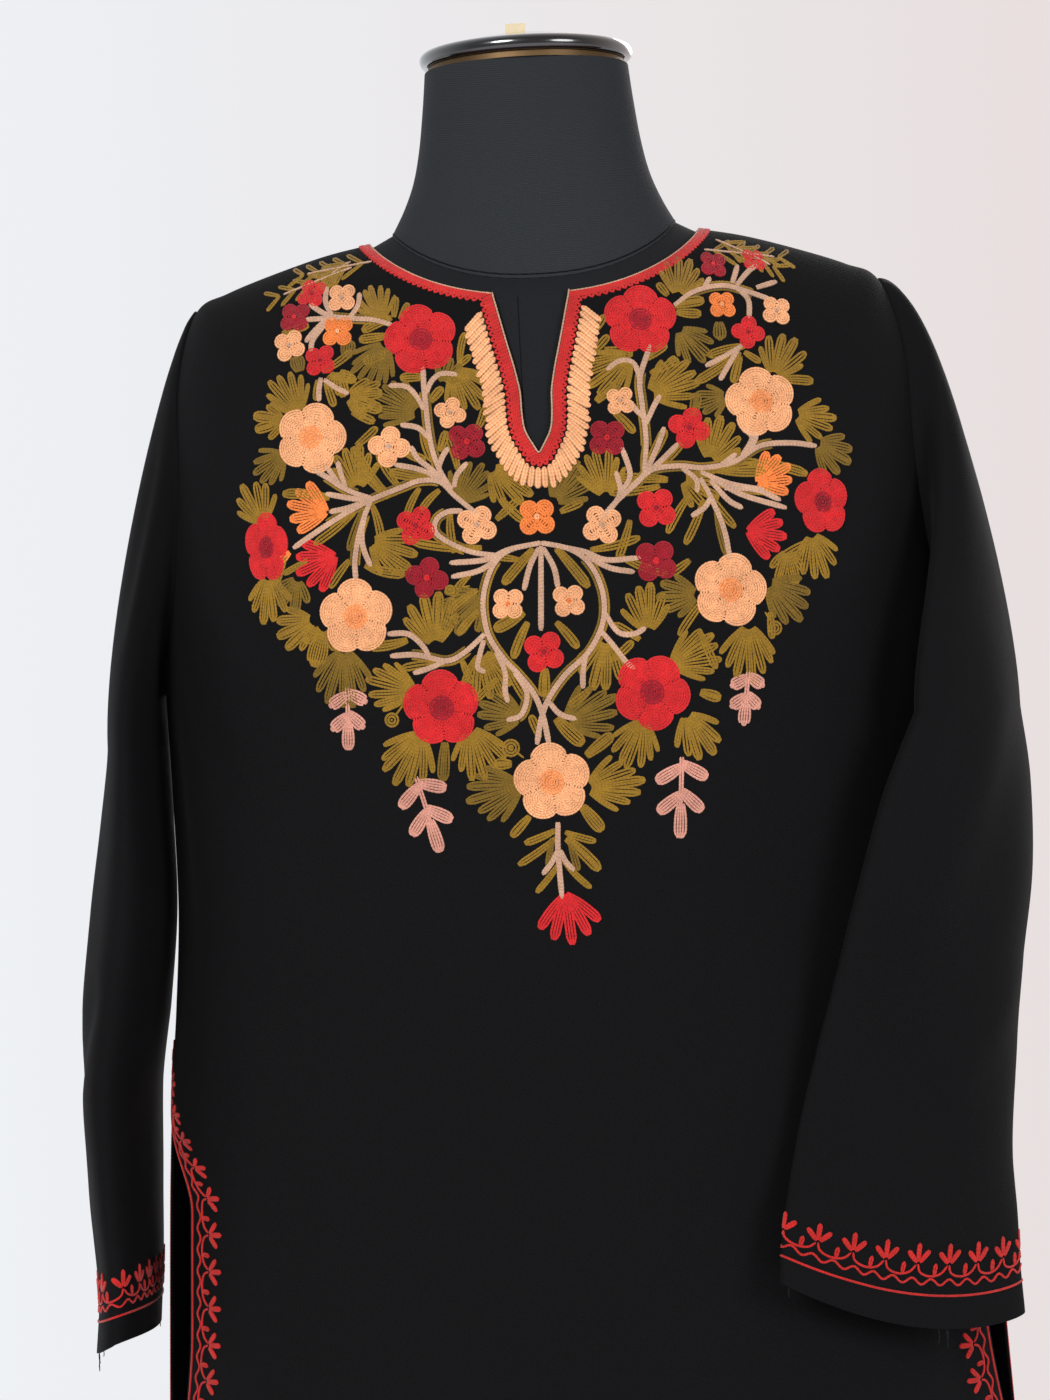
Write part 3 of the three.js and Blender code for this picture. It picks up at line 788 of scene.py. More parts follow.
def spline(points, steps=8):
    """A smooth line through listed points."""
    points = np.asarray(points, float)
    place = np.linspace(0, len(points) - 1, (len(points) - 1) * steps + 1)
    ends = np.vstack([2 * points[0] - points[1], points, 2 * points[-1] - points[-2]])
    k = np.minimum(place.astype(int), len(points) - 2)
    w = (place - k)[:, None]
    p0, p1, p2, p3 = (ends[k + i] for i in range(4))
    return p1 + 0.5 * w * (p2 - p0 + w * (2 * p0 - 5 * p1 + 4 * p2 - p3 + w * (3 * p1 - 3 * p2 + p3 - p0)))


def heading(angle):
    turn = math.radians(angle)
    return np.array([math.cos(turn), math.sin(turn)])


class Needle:
    """Stitches motifs on a patch. Places are (s, t) and angles are in degrees, 90 up the cloth."""

    def __init__(self, threads, patch, group, up=-1):
        self.threads = threads
        self.patch = patch
        self.group = group
        self.flip = np.array([1, up])

    def line(self, colour, origin, path, **options):
        where = np.asarray(origin) + np.asarray(path) * self.flip
        self.threads.row(f"{self.group}.{colour}", self.patch, where[:, 0], where[:, 1], **options)

    def arc(self, colour, origin, centre, radius, start, end, **options):
        turn = radians(np.linspace(start, end, max(6, int(abs(end - start) / 16))))
        path = np.asarray(centre) + radius * np.stack([np.cos(turn), np.sin(turn)], -1)
        self.line(colour, origin, path, **options)

    def disc(self, colour, origin, centre, radius, lift=0.0):
        """Rings of stitches, one inside the other."""
        ring = radius - THREAD_WIDTH / 2
        while ring > 0.5:
            self.arc(colour, origin, centre, ring, 0, 372, lift=lift)
            ring -= ROW_PITCH
        if ring > -0.4:
            self.line(colour, origin, np.asarray(centre) + [[-0.7, 0], [0.7, 0]], lift=lift)

    def band(self, colour, origin, path, breadth, waist=1.0, lift=None):
        """A finger along a path, filled with rows that turn round its tip. waist is its width at the root."""
        path = np.asarray(path, float)
        aside = left_of(unit(np.gradient(path, axis=0)))
        share = np.linspace(0, 1, len(path))
        swell = waist + (1 - waist) * np.sin(np.pi * np.clip(share * 0.8, 0, 0.5))
        length = lengths_along(path)[-1]
        near_tip = np.clip(1 - (1 - share) * length / (0.5 * breadth), 0, 1)
        swell = swell * np.sqrt(1 - 0.75 * near_tip ** 2)
        lift = RANDOM.uniform(0, 0.22) if lift is None else lift
        half = breadth / 2 - THREAD_WIDTH / 2
        while half > 0.3:
            trim = max(1, int(round(len(path) * (1 - half / max(length, 1) * 0.25))))
            side = (aside * (swell * half)[:, None])[:trim]
            loop = np.concatenate([path[:trim] + side, (path[:trim] - side)[::-1]])
            self.line(colour, origin, loop, lift=lift)
            half -= ROW_PITCH
        if half > -0.75:
            self.line(colour, origin, path, lift=lift)

    def finger(self, colour, origin, root, angle, length, breadth, bend=0.0, waist=0.55, lift=None):
        share = np.linspace(0, 1, 9)[:, None]
        ahead = heading(angle)
        path = root + length * (share * ahead + bend * share ** 2 * left_of(ahead))
        self.band(colour, origin, path, breadth, waist, lift)

    def flower(self, petals, heart, origin, radius, count, tilt=90.0):
        """Round petals filled with rings of stitches, each within its share of the turn, about a heart."""
        petal, heart_radius, underlay = (radius * share for share in FLOWER_SHARES[count])
        self.disc(petals, origin, (0, 0), underlay, lift=FLOWER_LIFT - 0.25)
        turn = radians(np.arange(-180, 181, 7.5))
        circle = np.stack([np.cos(turn), np.sin(turn)], -1)
        for k in range(count):
            ahead = heading(tilt + 360 * k / count)
            aside = left_of(ahead)
            facing = circle[:, :1] * ahead + circle[:, 1:] * aside
            middle = ahead * (radius - petal) * RANDOM.uniform(0.95, 1.05)
            lift = FLOWER_LIFT + 0.12 * (k % (2 + count % 2))
            for ring in np.arange(petal - THREAD_WIDTH / 2, 0.6, -PETAL_PITCH):
                path = middle + ring * facing
                out = path @ ahead
                kept = np.abs(path @ aside) < math.tan(math.pi / count) * out + 0.05 * THREAD_WIDTH
                kept &= out > heart_radius * 0.6
                for run in np.split(np.arange(len(path)), np.flatnonzero(np.diff(kept.astype(int))) + 1):
                    if kept[run[0]] and len(run) > 2:
                        self.line(petals, origin, path[run], lift=lift)
            self.line(petals, origin, [middle - aside, middle, middle + aside], lift=lift)
        self.disc(heart, origin, (0, 0), heart_radius, lift=FLOWER_LIFT + 0.4)

    def leaf(self, colour, origin, size, direction, fingers=7):
        """A palm-shaped leaf of fingers that fan out from the end of its stalk."""
        ahead = heading(direction)
        aside = left_of(ahead)
        base = -0.5 * size * ahead
        middle = (fingers - 1) / 2
        gap = math.radians(LEAF_SPREAD) / (fingers - 1)
        for k in sorted(range(fingers), key=lambda k: -abs(k - middle)):
            off = (k - middle) / middle
            angle = direction + off * LEAF_SPREAD / 2 + RANDOM.uniform(-3, 3)
            length = size * (1.02 - 0.34 * abs(off) ** 1.6) * RANDOM.uniform(0.92, 1.04)
            root = base + aside * off * 0.11 * size + ahead * 0.06 * size * (1 - abs(off))
            breadth = max(2 * ROW_PITCH + 0.2, 0.8 * length * gap)
            self.finger(colour, origin, root, angle, length, breadth, bend=-0.1 * off, waist=0.35)

    def fan(self, colour, origin, size, direction, fingers=5):
        """A half-open flower seen from the side."""
        base = -0.5 * size * heading(direction)
        for off in np.arange(fingers) - (fingers - 1) / 2:
            length = size * (1 - 0.08 * abs(off))
            angle = direction + off * FAN_SPREAD / fingers
            self.finger(colour, origin, base, angle, length, 4 * ROW_PITCH + 0.1, bend=-0.06 * off)

    def sprig(self, colour, origin, size, direction):
        """A hanging stalk with loops on both sides."""
        ahead = heading(direction)
        base = -0.5 * size * ahead
        self.band(colour, origin, base + ahead * np.linspace(0, 0.6, 7)[:, None] * size, 2 * ROW_PITCH)
        for share, off in ((0.08, 62), (0.12, -58), (0.42, 48), (0.46, -50)):
            root = base + ahead * size * share
            self.finger(colour, origin, root, direction + off, size * 0.36, 5 * ROW_PITCH, lift=0.2)
        self.finger(colour, origin, base + ahead * size * 0.58, direction, size * 0.42, 5 * ROW_PITCH)


# Yoke embroidery. Places are pixels of the photo, sizes too unless a column says otherwise.
# Five-petal flowers, by the threads of petals and heart. Columns: x, y, radius in mm, tilt,
# share of the width that is seen
BIG_FLOWERS = {
    ("red", "wine"): [
        (421, 340, 20, 100, 1), (640, 320, 20, 85, 1), (442, 708, 20.5, 20, 1), (652, 692, 20.5, 60, 1),
        (267, 548, 19, 85, 0.68), (822, 502, 18, 95, 0.88),
    ],
    ("peach", "apricot"): [
        (311, 438, 19.5, 70, 1), (761, 402, 19.5, 100, 1), (356, 617, 20.5, 90, 1), (730, 590, 20, 75, 1),
        (552, 782, 20.5, 95, 1),
    ],
}
# Four-petal flowers, by the threads of petals and heart. Columns: x, y, radius in mm, tilt
SMALL_FLOWERS = {
    ("red", "wine"): [
        (312, 294, 9, 30), (320, 361, 9.5, 50), (416, 526, 11, 60), (753, 261, 7.5, 40),
        (748, 333, 9.5, 80), (689, 428, 11.5, 70), (656, 508, 11.5, 50), (544, 652, 11.5, 55),
    ],
    ("wine", "red"): [
        (295, 318, 9.5, 40), (467, 442, 11, 50), (427, 578, 11.5, 75), (713, 265, 8.5, 35),
        (607, 438, 11, 40), (656, 561, 12, 50),
    ],
    ("peach", "beige"): [
        (342, 298, 9, 45), (290, 346, 9.5, 60), (389, 447, 11.5, 80), (450, 413, 9, 70),
        (477, 525, 11, 60), (776, 311, 9, 35), (620, 401, 8.5, 50), (602, 525, 11, 30),
    ],
    ("peach", "orange"): [
        (508, 604, 9.5, 40), (569, 601, 9.5, 50),
    ],
    ("orange", "peach"): [
        (338, 332, 9.5, 40), (722, 305, 8.5, 45), (537, 517, 11, 45),
    ],
}
# Half-open flowers. Columns: thread, x, y, size, direction
FANS = [
    ("orange", 307, 508, 42, 165), ("red", 316, 565, 44, 200), ("orange", 774, 474, 38, 25),
    ("red", 767, 534, 40, 350), ("red", 569, 919, 50, 275),
]
# Palm leaves. Columns: x, y, size, direction, fingers
LEAVES = [
    (376, 303, 38, 105, 7), (374, 364, 44, 238, 8), (289, 394, 44, 115, 7), (268, 422, 32, 180, 4),
    (270, 466, 36, 215, 6), (256, 503, 42, 108, 6), (366, 399, 36, 350, 4), (396, 404, 46, 155, 7),
    (466, 388, 42, 300, 7), (355, 467, 42, 95, 6), (470, 483, 42, 55, 7), (509, 484, 44, 315, 6),
    (269, 600, 44, 268, 6), (292, 595, 32, 245, 4), (295, 629, 40, 200, 5), (320, 646, 34, 255, 3),
    (343, 678, 54, 264, 7), (393, 552, 46, 332, 6), (432, 618, 50, 95, 6), (462, 610, 46, 215, 5),
    (391, 686, 46, 165, 7), (489, 676, 46, 285, 6), (500, 713, 40, 165, 6), (408, 758, 52, 238, 7),
    (478, 753, 48, 285, 7), (495, 794, 50, 195, 7), (614, 784, 50, 5, 7), (681, 276, 42, 75, 6),
    (693, 344, 38, 310, 6), (782, 356, 44, 62, 6), (815, 420, 40, 345, 6), (834, 454, 40, 330, 5),
    (673, 383, 50, 25, 7), (610, 372, 48, 215, 7), (711, 401, 30, 195, 5), (719, 440, 44, 62, 6),
    (601, 472, 46, 98, 7), (568, 484, 42, 48, 6), (817, 557, 44, 282, 6), (787, 568, 32, 265, 4),
    (787, 598, 46, 322, 6), (749, 652, 50, 268, 7), (646, 608, 44, 92, 6), (677, 596, 38, 180, 5),
    (602, 664, 46, 258, 6), (695, 655, 48, 20, 7), (590, 711, 50, 22, 7), (636, 744, 46, 250, 7),
    (697, 735, 44, 295, 6), (450, 372, 26, 60, 4), (700, 488, 36, 330, 5), (340, 384, 26, 280, 3),
]
# Single leaf fingers. Columns: x and y of the root, x and y of the tip, breadth in mm, bend, and the
# thread where it isn't olive
FINGERS = [
    (330, 498, 285, 487, 6, 0.15), (390, 497, 343, 462, 7, -0.3), (430, 478, 390, 476, 6, -0.1),
    (400, 488, 372, 458, 5, -0.2), (372, 505, 390, 545, 5, -0.2), (366, 505, 345, 548, 5, 0.1, "moss"),
    (355, 512, 318, 548, 5, -0.1), (350, 560, 328, 585, 5, 0.1), (365, 565, 400, 583, 6, 0.25),
    (420, 488, 402, 512, 4.5, 0.2), (440, 490, 418, 506, 4.5, 0.2), (482, 548, 412, 552, 5.5, -0.15),
    (450, 512, 448, 552, 5, 0.15), (534, 549, 502, 582, 6, 0.05), (556, 548, 590, 585, 6, -0.05),
    (524, 612, 497, 632, 7, -0.1), (528, 622, 510, 656, 5.5, 0.1), (556, 622, 580, 645, 5.5, -0.1),
    (545, 668, 544, 696, 6.5, 0), (470, 575, 449, 592, 4.5, 0.2), (478, 590, 446, 606, 4.5, 0.2),
    (480, 610, 456, 632, 4.5, 0.1), (446, 664, 402, 662, 5, 0.15), (408, 640, 372, 654, 6, -0.2),
    (462, 660, 470, 684, 4.5, 0.1), (506, 664, 524, 704, 5, 0.1), (498, 678, 476, 700, 4.5, 0),
    (445, 742, 443, 780, 7, 0, "moss"), (530, 816, 512, 836, 5.5, 0), (582, 806, 602, 830, 7.5, 0),
    (556, 830, 527, 846, 4.5, -0.1), (556, 838, 522, 868, 4.5, -0.1), (565, 832, 594, 844, 4.5, 0.1),
    (566, 838, 602, 866, 6.5, -0.1), (560, 862, 540, 894, 4, -0.1), (563, 860, 586, 891, 4, 0.15),
    (552, 838, 548, 866, 4, 0, "moss"), (570, 842, 578, 870, 4.5, 0, "moss"), (540, 738, 531, 716, 5, 0),
    (556, 718, 580, 746, 8, 0.1), (586, 756, 612, 735, 7, 0), (512, 764, 494, 764, 6.5, 0),
    (620, 556, 662, 582, 5, 0.2), (590, 550, 640, 545, 5, 0.15), (630, 520, 622, 560, 5, -0.1),
    (668, 480, 620, 474, 6, 0.1), (660, 486, 612, 500, 5, -0.15), (700, 474, 756, 456, 5.5, -0.1),
    (716, 470, 764, 476, 6, 0.1), (712, 482, 768, 500, 5, 0.15), (700, 482, 730, 530, 5, 0.1),
    (704, 500, 690, 545, 5, -0.1), (716, 508, 722, 556, 4.5, 0.1, "moss"), (748, 464, 806, 462, 6, -0.2),
    (690, 494, 664, 530, 5, 0.1), (646, 442, 640, 478, 5, 0.15), (648, 462, 668, 432, 6, 0.1),
    (655, 470, 684, 446, 5.5, 0.1), (596, 402, 614, 384, 6, 0), (612, 410, 636, 430, 5.5, -0.1),
    (644, 360, 666, 345, 5.5, 0), (650, 374, 678, 360, 5, 0), (604, 350, 632, 352, 6, -0.1),
    (596, 330, 604, 316, 5, 0), (594, 352, 608, 336, 5, 0), (693, 418, 697, 394, 6.5, 0, "moss"),
    (745, 346, 708, 352, 6, 0.1), (740, 352, 700, 386, 6, -0.1), (740, 356, 732, 382, 5.5, 0.05),
    (744, 352, 760, 362, 4.5, 0), (719, 322, 720, 340, 8, 0, "moss"), (780, 380, 812, 378, 6, -0.1),
    (674, 306, 702, 298, 6.5, -0.1), (676, 312, 700, 316, 6, 0.1), (668, 296, 658, 284, 5, 0),
    (347, 358, 349, 340, 9, 0, "moss"), (322, 372, 354, 356, 5, 0.15), (330, 376, 356, 378, 6, -0.1),
    (300, 372, 296, 356, 9, 0, "moss"), (282, 334, 308, 326, 5, 0), (352, 392, 380, 386, 5, 0.1),
    (352, 398, 376, 402, 5, -0.1), (318, 380, 316, 400, 4.5, 0), (326, 382, 334, 406, 5, 0),
    (350, 408, 372, 410, 5.5, 0.1), (352, 412, 374, 422, 5.5, 0), (356, 446, 378, 430, 5, 0.1),
    (458, 470, 452, 436, 5, 0.1), (440, 452, 446, 432, 5.5, 0), (404, 452, 424, 462, 5.5, 0.1),
    (424, 378, 402, 374, 6, 0.2), (430, 402, 442, 388, 5.5, 0), (422, 430, 426, 462, 5, 0.2),
    (460, 366, 458, 334, 4.5, -0.2), (456, 368, 470, 356, 4.5, 0), (476, 430, 490, 412, 5, 0.3),
    (392, 318, 362, 328, 6, 0.1), (388, 336, 360, 340, 6, 0), (392, 352, 364, 362, 6, 0),
    (394, 318, 396, 298, 4.5, 0), (400, 320, 408, 304, 4.5, 0), (520, 560, 492, 556, 4.5, 0),
    (496, 520, 518, 500, 5, 0), (560, 512, 582, 502, 5, 0), (500, 498, 520, 524, 5.5, 0.15),
    (286, 556, 276, 588, 4, 0), (308, 560, 284, 574, 4, 0), (290, 552, 277, 566, 5, 0, "orange"),
    (706, 598, 676, 632, 5, 0.1), (690, 560, 672, 574, 5, 0), (640, 640, 616, 622, 5, 0.1),
    (700, 692, 720, 698, 6.5, 0), (590, 690, 570, 706, 5, 0), (612, 660, 634, 644, 5, 0.1),
    (700, 632, 716, 668, 5, 0), (770, 612, 772, 638, 5, 0), (812, 540, 776, 556, 5, 0.1),
]
# Round buds on stalks. Columns: x, y, radius in mm, x and y of the stalk's foot
BUDS = [
    (392, 720, 4.2, 404, 704), (511, 748, 5, 524, 758), (775, 628, 4.2, 765, 612), (450, 590, 3, 470, 586),
]
# Hanging sprigs. Columns: x, y, size, direction
SPRIGS = [(348, 718, 62, 268), (428, 814, 78, 285), (746, 698, 54, 262), (681, 797, 80, 266)]
# Stalks, each as the x and y of its places from root to tip
STALKS = [
    [541, 543, 513, 549, 497, 560, 487, 580, 483, 605, 488, 634, 503, 658, 519, 675, 534, 694, 543, 716,
     549, 744],
    [541, 543, 566, 548, 584, 558, 597, 576, 604, 600, 602, 626, 588, 653, 566, 674, 549, 698, 541, 720,
     537, 744],
    [530, 545, 508, 550, 485, 560, 450, 563], [506, 552, 481, 570, 452, 577],
    [500, 556, 471, 552, 446, 541, 435, 531, 437, 519, 448, 512, 462, 511],
    [556, 546, 585, 552, 606, 560, 640, 558], [586, 556, 610, 568, 634, 572],
    [478, 515, 455, 496, 440, 482, 420, 481, 403, 487, 383, 495, 371, 500, 352, 510, 332, 522, 311, 536,
     294, 548],
    [373, 499, 354, 493, 340, 486, 328, 478, 316, 471], [346, 488, 341, 474, 338, 462],
    [340, 486, 332, 474, 326, 466], [368, 501, 348, 498, 326, 494], [360, 504, 345, 509, 330, 512],
    [371, 501, 364, 518, 358, 540, 355, 562, 356, 580], [366, 510, 362, 534, 364, 550, 371, 566],
    [452, 490, 440, 471, 432, 449, 428, 426, 426, 406, 424, 388, 423, 368],
    [424, 410, 416, 396, 406, 387, 389, 386], [426, 394, 432, 381, 442, 374, 457, 375],
    [428, 438, 418, 428, 401, 425], [448, 486, 432, 470, 418, 459, 411, 447],
    [446, 482, 420, 470, 395, 465], [454, 488, 457, 475, 467, 463], [438, 470, 442, 458, 448, 448],
    [392, 325, 372, 320, 354, 319, 329, 316, 310, 305], [340, 318, 322, 319, 306, 320],
    [332, 316, 326, 302, 327, 288], [350, 318, 358, 306, 360, 294], [328, 318, 314, 332, 306, 342],
    [326, 324, 313, 340, 311, 352], [321, 378, 319, 390, 319, 401], [324, 380, 336, 388, 348, 394],
    [541, 546, 541, 580, 541, 606, 541, 630], [539, 548, 530, 566, 524, 590],
    [543, 548, 554, 568, 558, 588], [485, 634, 464, 653, 446, 661, 417, 655, 391, 656],
    [446, 661, 430, 668, 414, 673], [430, 658, 422, 645, 408, 634, 388, 634],
    [484, 640, 479, 658, 478, 668, 485, 672], [496, 652, 505, 672, 505, 690, 508, 702],
    [514, 672, 526, 690, 526, 704, 520, 716, 507, 720], [600, 630, 612, 644, 626, 662, 634, 668],
    [604, 612, 618, 632, 634, 634, 645, 628], [586, 654, 583, 672, 583, 688],
    [549, 702, 560, 714, 576, 719], [558, 822, 558, 850, 562, 898], [558, 850, 552, 862, 543, 874],
    [560, 850, 566, 862, 574, 870],
    [600, 520, 616, 502, 634, 486, 652, 470, 680, 466, 704, 468, 734, 462, 760, 446, 790, 443, 816, 446],
    [606, 515, 620, 494, 616, 472], [618, 496, 630, 476, 622, 448],
    [630, 488, 644, 474, 656, 450, 664, 428], [642, 478, 660, 462, 678, 444],
    [644, 472, 646, 440, 642, 404, 640, 378, 650, 346], [641, 384, 634, 364, 620, 361, 607, 370],
    [644, 418, 636, 410, 630, 402], [646, 424, 654, 406, 660, 396], [720, 466, 736, 454],
    [744, 456, 754, 442, 756, 432], [742, 456, 752, 438, 742, 428], [682, 468, 696, 480, 697, 492],
    [700, 472, 730, 484, 764, 490], [706, 474, 740, 494, 786, 508], [710, 480, 728, 500, 742, 508],
    [700, 478, 712, 500, 724, 530, 730, 560], [712, 496, 704, 508, 692, 516],
    [724, 488, 756, 490, 780, 500], [674, 306, 694, 292, 722, 286, 748, 292, 770, 300],
    [736, 288, 748, 300, 749, 318], [704, 288, 710, 278], [732, 284, 737, 266],
    [736, 286, 748, 272, 756, 266], [742, 346, 722, 358, 706, 366], [738, 350, 728, 366, 720, 380],
    [756, 288, 776, 282],
]
# Sprays over the shoulders, each a twig with leaf fingers in pairs. Columns: x and y of root and tip
SPRAYS = [
    (352, 268, 276, 298), (350, 262, 330, 276), (372, 262, 300, 276), (704, 250, 782, 258), (716, 240, 776, 268),
]
STALK_BREADTH = 3.4
COMPANION_OFFSET = 2.3
TWIG_BREADTH = 1.7


def yoke_embroidery(threads, yoke):
    needle = Needle(threads, yoke, "yoke")
    pixel = CAMERA_DISTANCE / FOCAL_PIXELS * 0.95

    def root_and_run(x0, y0, x1, y1):
        """Where a twig starts, and its run, length and direction to its tip."""
        root = np.array(yoke.from_photo(x0, y0))
        run = (np.array(yoke.from_photo(x1, y1)) - root) * [1, -1]
        return root, run, np.linalg.norm(run), math.degrees(math.atan2(run[1], run[0]))

    for spray in SPRAYS:
        root, run, length, angle = root_and_run(*spray)
        needle.finger("beige", root, np.zeros(2), angle, length * 0.9, TWIG_BREADTH, lift=0.3)
        for share in np.linspace(0.12, 0.95, 5):
            for off in (-34, 34):
                needle.finger("olive", root, run * share, angle + off, 14 - 4 * share, 2 * ROW_PITCH)
    for k, (x, y, size, direction, fingers) in enumerate(LEAVES):
        thread = "moss" if k % 3 == 1 else "olive"
        needle.leaf(thread, yoke.from_photo(x, y), size * pixel, direction, fingers)
    for x0, y0, x1, y1, breadth, bend, *thread in FINGERS:
        root, run, length, angle = root_and_run(x0, y0, x1, y1)
        needle.finger(*(thread or ["olive"]), root, np.zeros(2), angle, length, breadth, bend, waist=0.5)
    for x, y, radius, foot_x, foot_y in BUDS:
        centre, foot, length, angle = root_and_run(x, y, foot_x, foot_y)
        needle.line("olive", centre, [foot, foot * 0.3])
        needle.disc("olive", centre, (0, 0), radius, lift=0.2)
    for x, y, size, direction in SPRIGS:
        needle.sprig("pink", yoke.from_photo(x, y), size * pixel, direction)
    for stalk in STALKS:
        path = spline([yoke.from_photo(x, y) for x, y in zip(stalk[::2], stalk[1::2])], steps=5)
        root = path[0].copy()
        path = (path - root) * [1, -1]
        needle.band("beige", root, path, STALK_BREADTH, waist=0.8, lift=0.35)
        if len(stalk) > 8:
            aside = left_of(unit(np.gradient(path, axis=0))) * COMPANION_OFFSET
            for side, thread in ((1, "olive"), (-1, "moss")):
                needle.line(thread, root, (path + side * aside)[len(path) // 5:-len(path) // 6], lift=0.1)
    for thread, x, y, size, direction in FANS:
        needle.fan(thread, yoke.from_photo(x, y), size * pixel, direction)
    for (petals, heart), rows in SMALL_FLOWERS.items():
        for x, y, radius, tilt in rows:
            needle.flower(petals, heart, yoke.from_photo(x, y), radius, 4, tilt)
    for (petals, heart), rows in BIG_FLOWERS.items():
        for x, y, radius, tilt, breadth in rows:
            needle.flip = np.array([breadth, -1])
            needle.flower(petals, heart, yoke.from_photo(x, y), radius, 5, tilt)


# Bands along the neck and its slit, by distance from the edge in mm
EDGE_ROW = 0.8
RED_ROWS = (2.1, 3.3, 4.5, 5.7)
LOOP_MIDDLE = 7.1
LOOP_REACH = 1.1
LOOP_PITCH = 3.4
STROKE_INNER = 9.0
STROKE_OUTER = 20.6
STROKE_PITCH = 3.7
STROKE_SLANT = 7.0
STROKE_TOP = 1349.0


def slit_line(offset, spacing=0.5):
    """Places (x, z) along the neck slit at a distance from its edge, their normals, and how far along."""
    z = np.linspace(NECK_SLIT_TOP - 0.25 * offset, NECK_SLIT_TOP - NECK_SLIT_DEPTH, 120)
    half = slit_half_width(z)
    soft = np.convolve(np.pad(half, 5, mode="edge"), np.ones(11) / 11, "valid")
    half = np.where(np.arange(120) < 108, soft, half)
    normal = left_of(unit(np.stack([np.gradient(half), np.gradient(z)], -1)))
    edge = np.stack([half, z], -1) + normal * offset
    last = math.atan2(normal[-1, 1], normal[-1, 0])
    sweep = np.linspace(last, -math.pi / 2, 14)[1:]
    bend = np.stack([np.cos(sweep), np.sin(sweep)], -1)
    right = np.concatenate([edge, np.array([0, z[-1]]) + bend * offset])
    normals = np.concatenate([normal, bend])
    mirror = np.array([-1, 1])
    points = np.concatenate([right * mirror, right[-2::-1]]) + [NECK_SLIT_X, 0]
    normals = np.concatenate([normals * mirror, normals[-2::-1]])
    length = lengths_along(points)
    where = np.arange(0, length[-1], spacing)
    return values_at(where, length, points), unit(values_at(where, length, normals)), where


def neck_bands(threads, yoke):
    rings = NeckRings()

    def around(offset):
        """Angles from the slit's right corner round the back to its left corner."""
        half_width = rows_at(BODY_RINGS, offset / NeckRings.RING_DEPTH)[0]
        corners = []
        for side in (1, -1):
            x = NECK_SLIT_X + side * (slit_half_width(NECK_SLIT_TOP) + offset)
            corners.append(math.copysign(math.asin((abs(x) / half_width) ** (ROUNDNESS / 2)), x))
        return np.arange(corners[0], 2 * math.pi + corners[1], 0.006) * NeckRings.RADIUS

    def on_yoke(points):
        return np.array([yoke.from_point(x, z) for x, z in points]).T

    rows = [("beige", EDGE_ROW, 1.3)] + [("scarlet", row, 1.8) for row in RED_ROWS]
    for colour, offset, width in rows:
        s = around(offset)
        threads.row(f"bands.{colour}", rings, s, np.full(s.shape, offset), width=width)
        threads.row(f"bands.{colour}", yoke, *on_yoke(slit_line(offset)[0]), width=width)
    first, *_, last = around(LOOP_MIDDLE)
    s = np.arange(first, last, LOOP_PITCH / 8)
    loops = LOOP_MIDDLE + LOOP_REACH * np.sin(2 * math.pi * s / LOOP_PITCH)
    threads.row("bands.scarlet", rings, s, loops, width=1.9, lift=0.15)
    points, normals, where = slit_line(LOOP_MIDDLE, LOOP_PITCH / 8)
    loops = LOOP_REACH * np.sin(2 * math.pi * where / LOOP_PITCH)
    threads.row("bands.scarlet", yoke, *on_yoke(points + normals * loops[:, None]), width=1.9, lift=0.15)
    middle = (STROKE_INNER + STROKE_OUTER) / 2
    points, normals, where = slit_line(middle, STROKE_PITCH)
    bottom = len(where) // 2
    tangents = unit(np.gradient(points, axis=0))
    for k in np.flatnonzero(points[:, 1] <= STROKE_TOP):
        tangent = tangents[k] * (1 if k <= bottom else -1)
        ease = min(1, abs(k - bottom) / 4)
        slant = STROKE_SLANT * ease * RANDOM.uniform(0.9, 1.1)
        inner = points[k] + normals[k] * (STROKE_INNER - middle) - tangent * slant / 2
        reach = STROKE_OUTER - middle + RANDOM.uniform(-0.8, 0.8)
        outer = points[k] + normals[k] * reach + tangent * slant / 2
        ends = on_yoke([inner, outer])
        threads.row("bands.peach", yoke, *ends, width=4.5, height=1.1, lift=0.3 + 0.15 * (k % 2))


def border(needle, length, first, foot):
    """A straight row, a wavy row and a vine of three-petal flowers and buds, side by side."""
    along = np.linspace(0, length, int(length / 1.2))
    needle.line("crimson", (0, 0), np.stack([along, np.full(along.shape, foot)], -1))
    wave = foot + 6.5 + 1.5 * np.sin(2 * math.pi * along * round(length / 11.5) / length)
    needle.line("crimson", (0, 0), np.stack([along, wave], -1))
    repeats = round((length - first) / 19.5)
    for start in first + (length - first) * np.arange(repeats) / repeats:
        at = np.array([start, foot + 15])
        for off, reach in ((48, 7.5), (3, 9), (-42, 8)):
            needle.finger("crimson", (0, 0), at + heading(90 + off) * 1.2, 90 + off, reach, 3.3, waist=0.45)
        steps = [0, 0], [1.2, -3.6], [5, -5.4], [10, -5.6], [15, -4], [18.5, -0.5]
        vine = spline([at + step for step in steps])
        needle.line("crimson", (0, 0), vine)
        needle.finger("crimson", (0, 0), at + [10.4, -5.2], 82, 5.4, 3.0, waist=0.5)


def cuff_patch(outer):
    """The cloth above a cuff, up from its edge and once round from its underarm seam, and a little more."""
    rows = np.roll(outer, -SLEEVE_SPANS, 1)[::-1][:34]
    closing = rows.shape[1]
    rows = np.concatenate([rows, rows[:, :10]], 1)
    t = lengths_across(rows.swapaxes(0, 1)).mean(0)
    s = lengths_across(rows)
    length = s[4:8, closing].mean()
    return Patch(t, rows, s * length / s[:, closing:closing + 1], rows.mean(1)), length


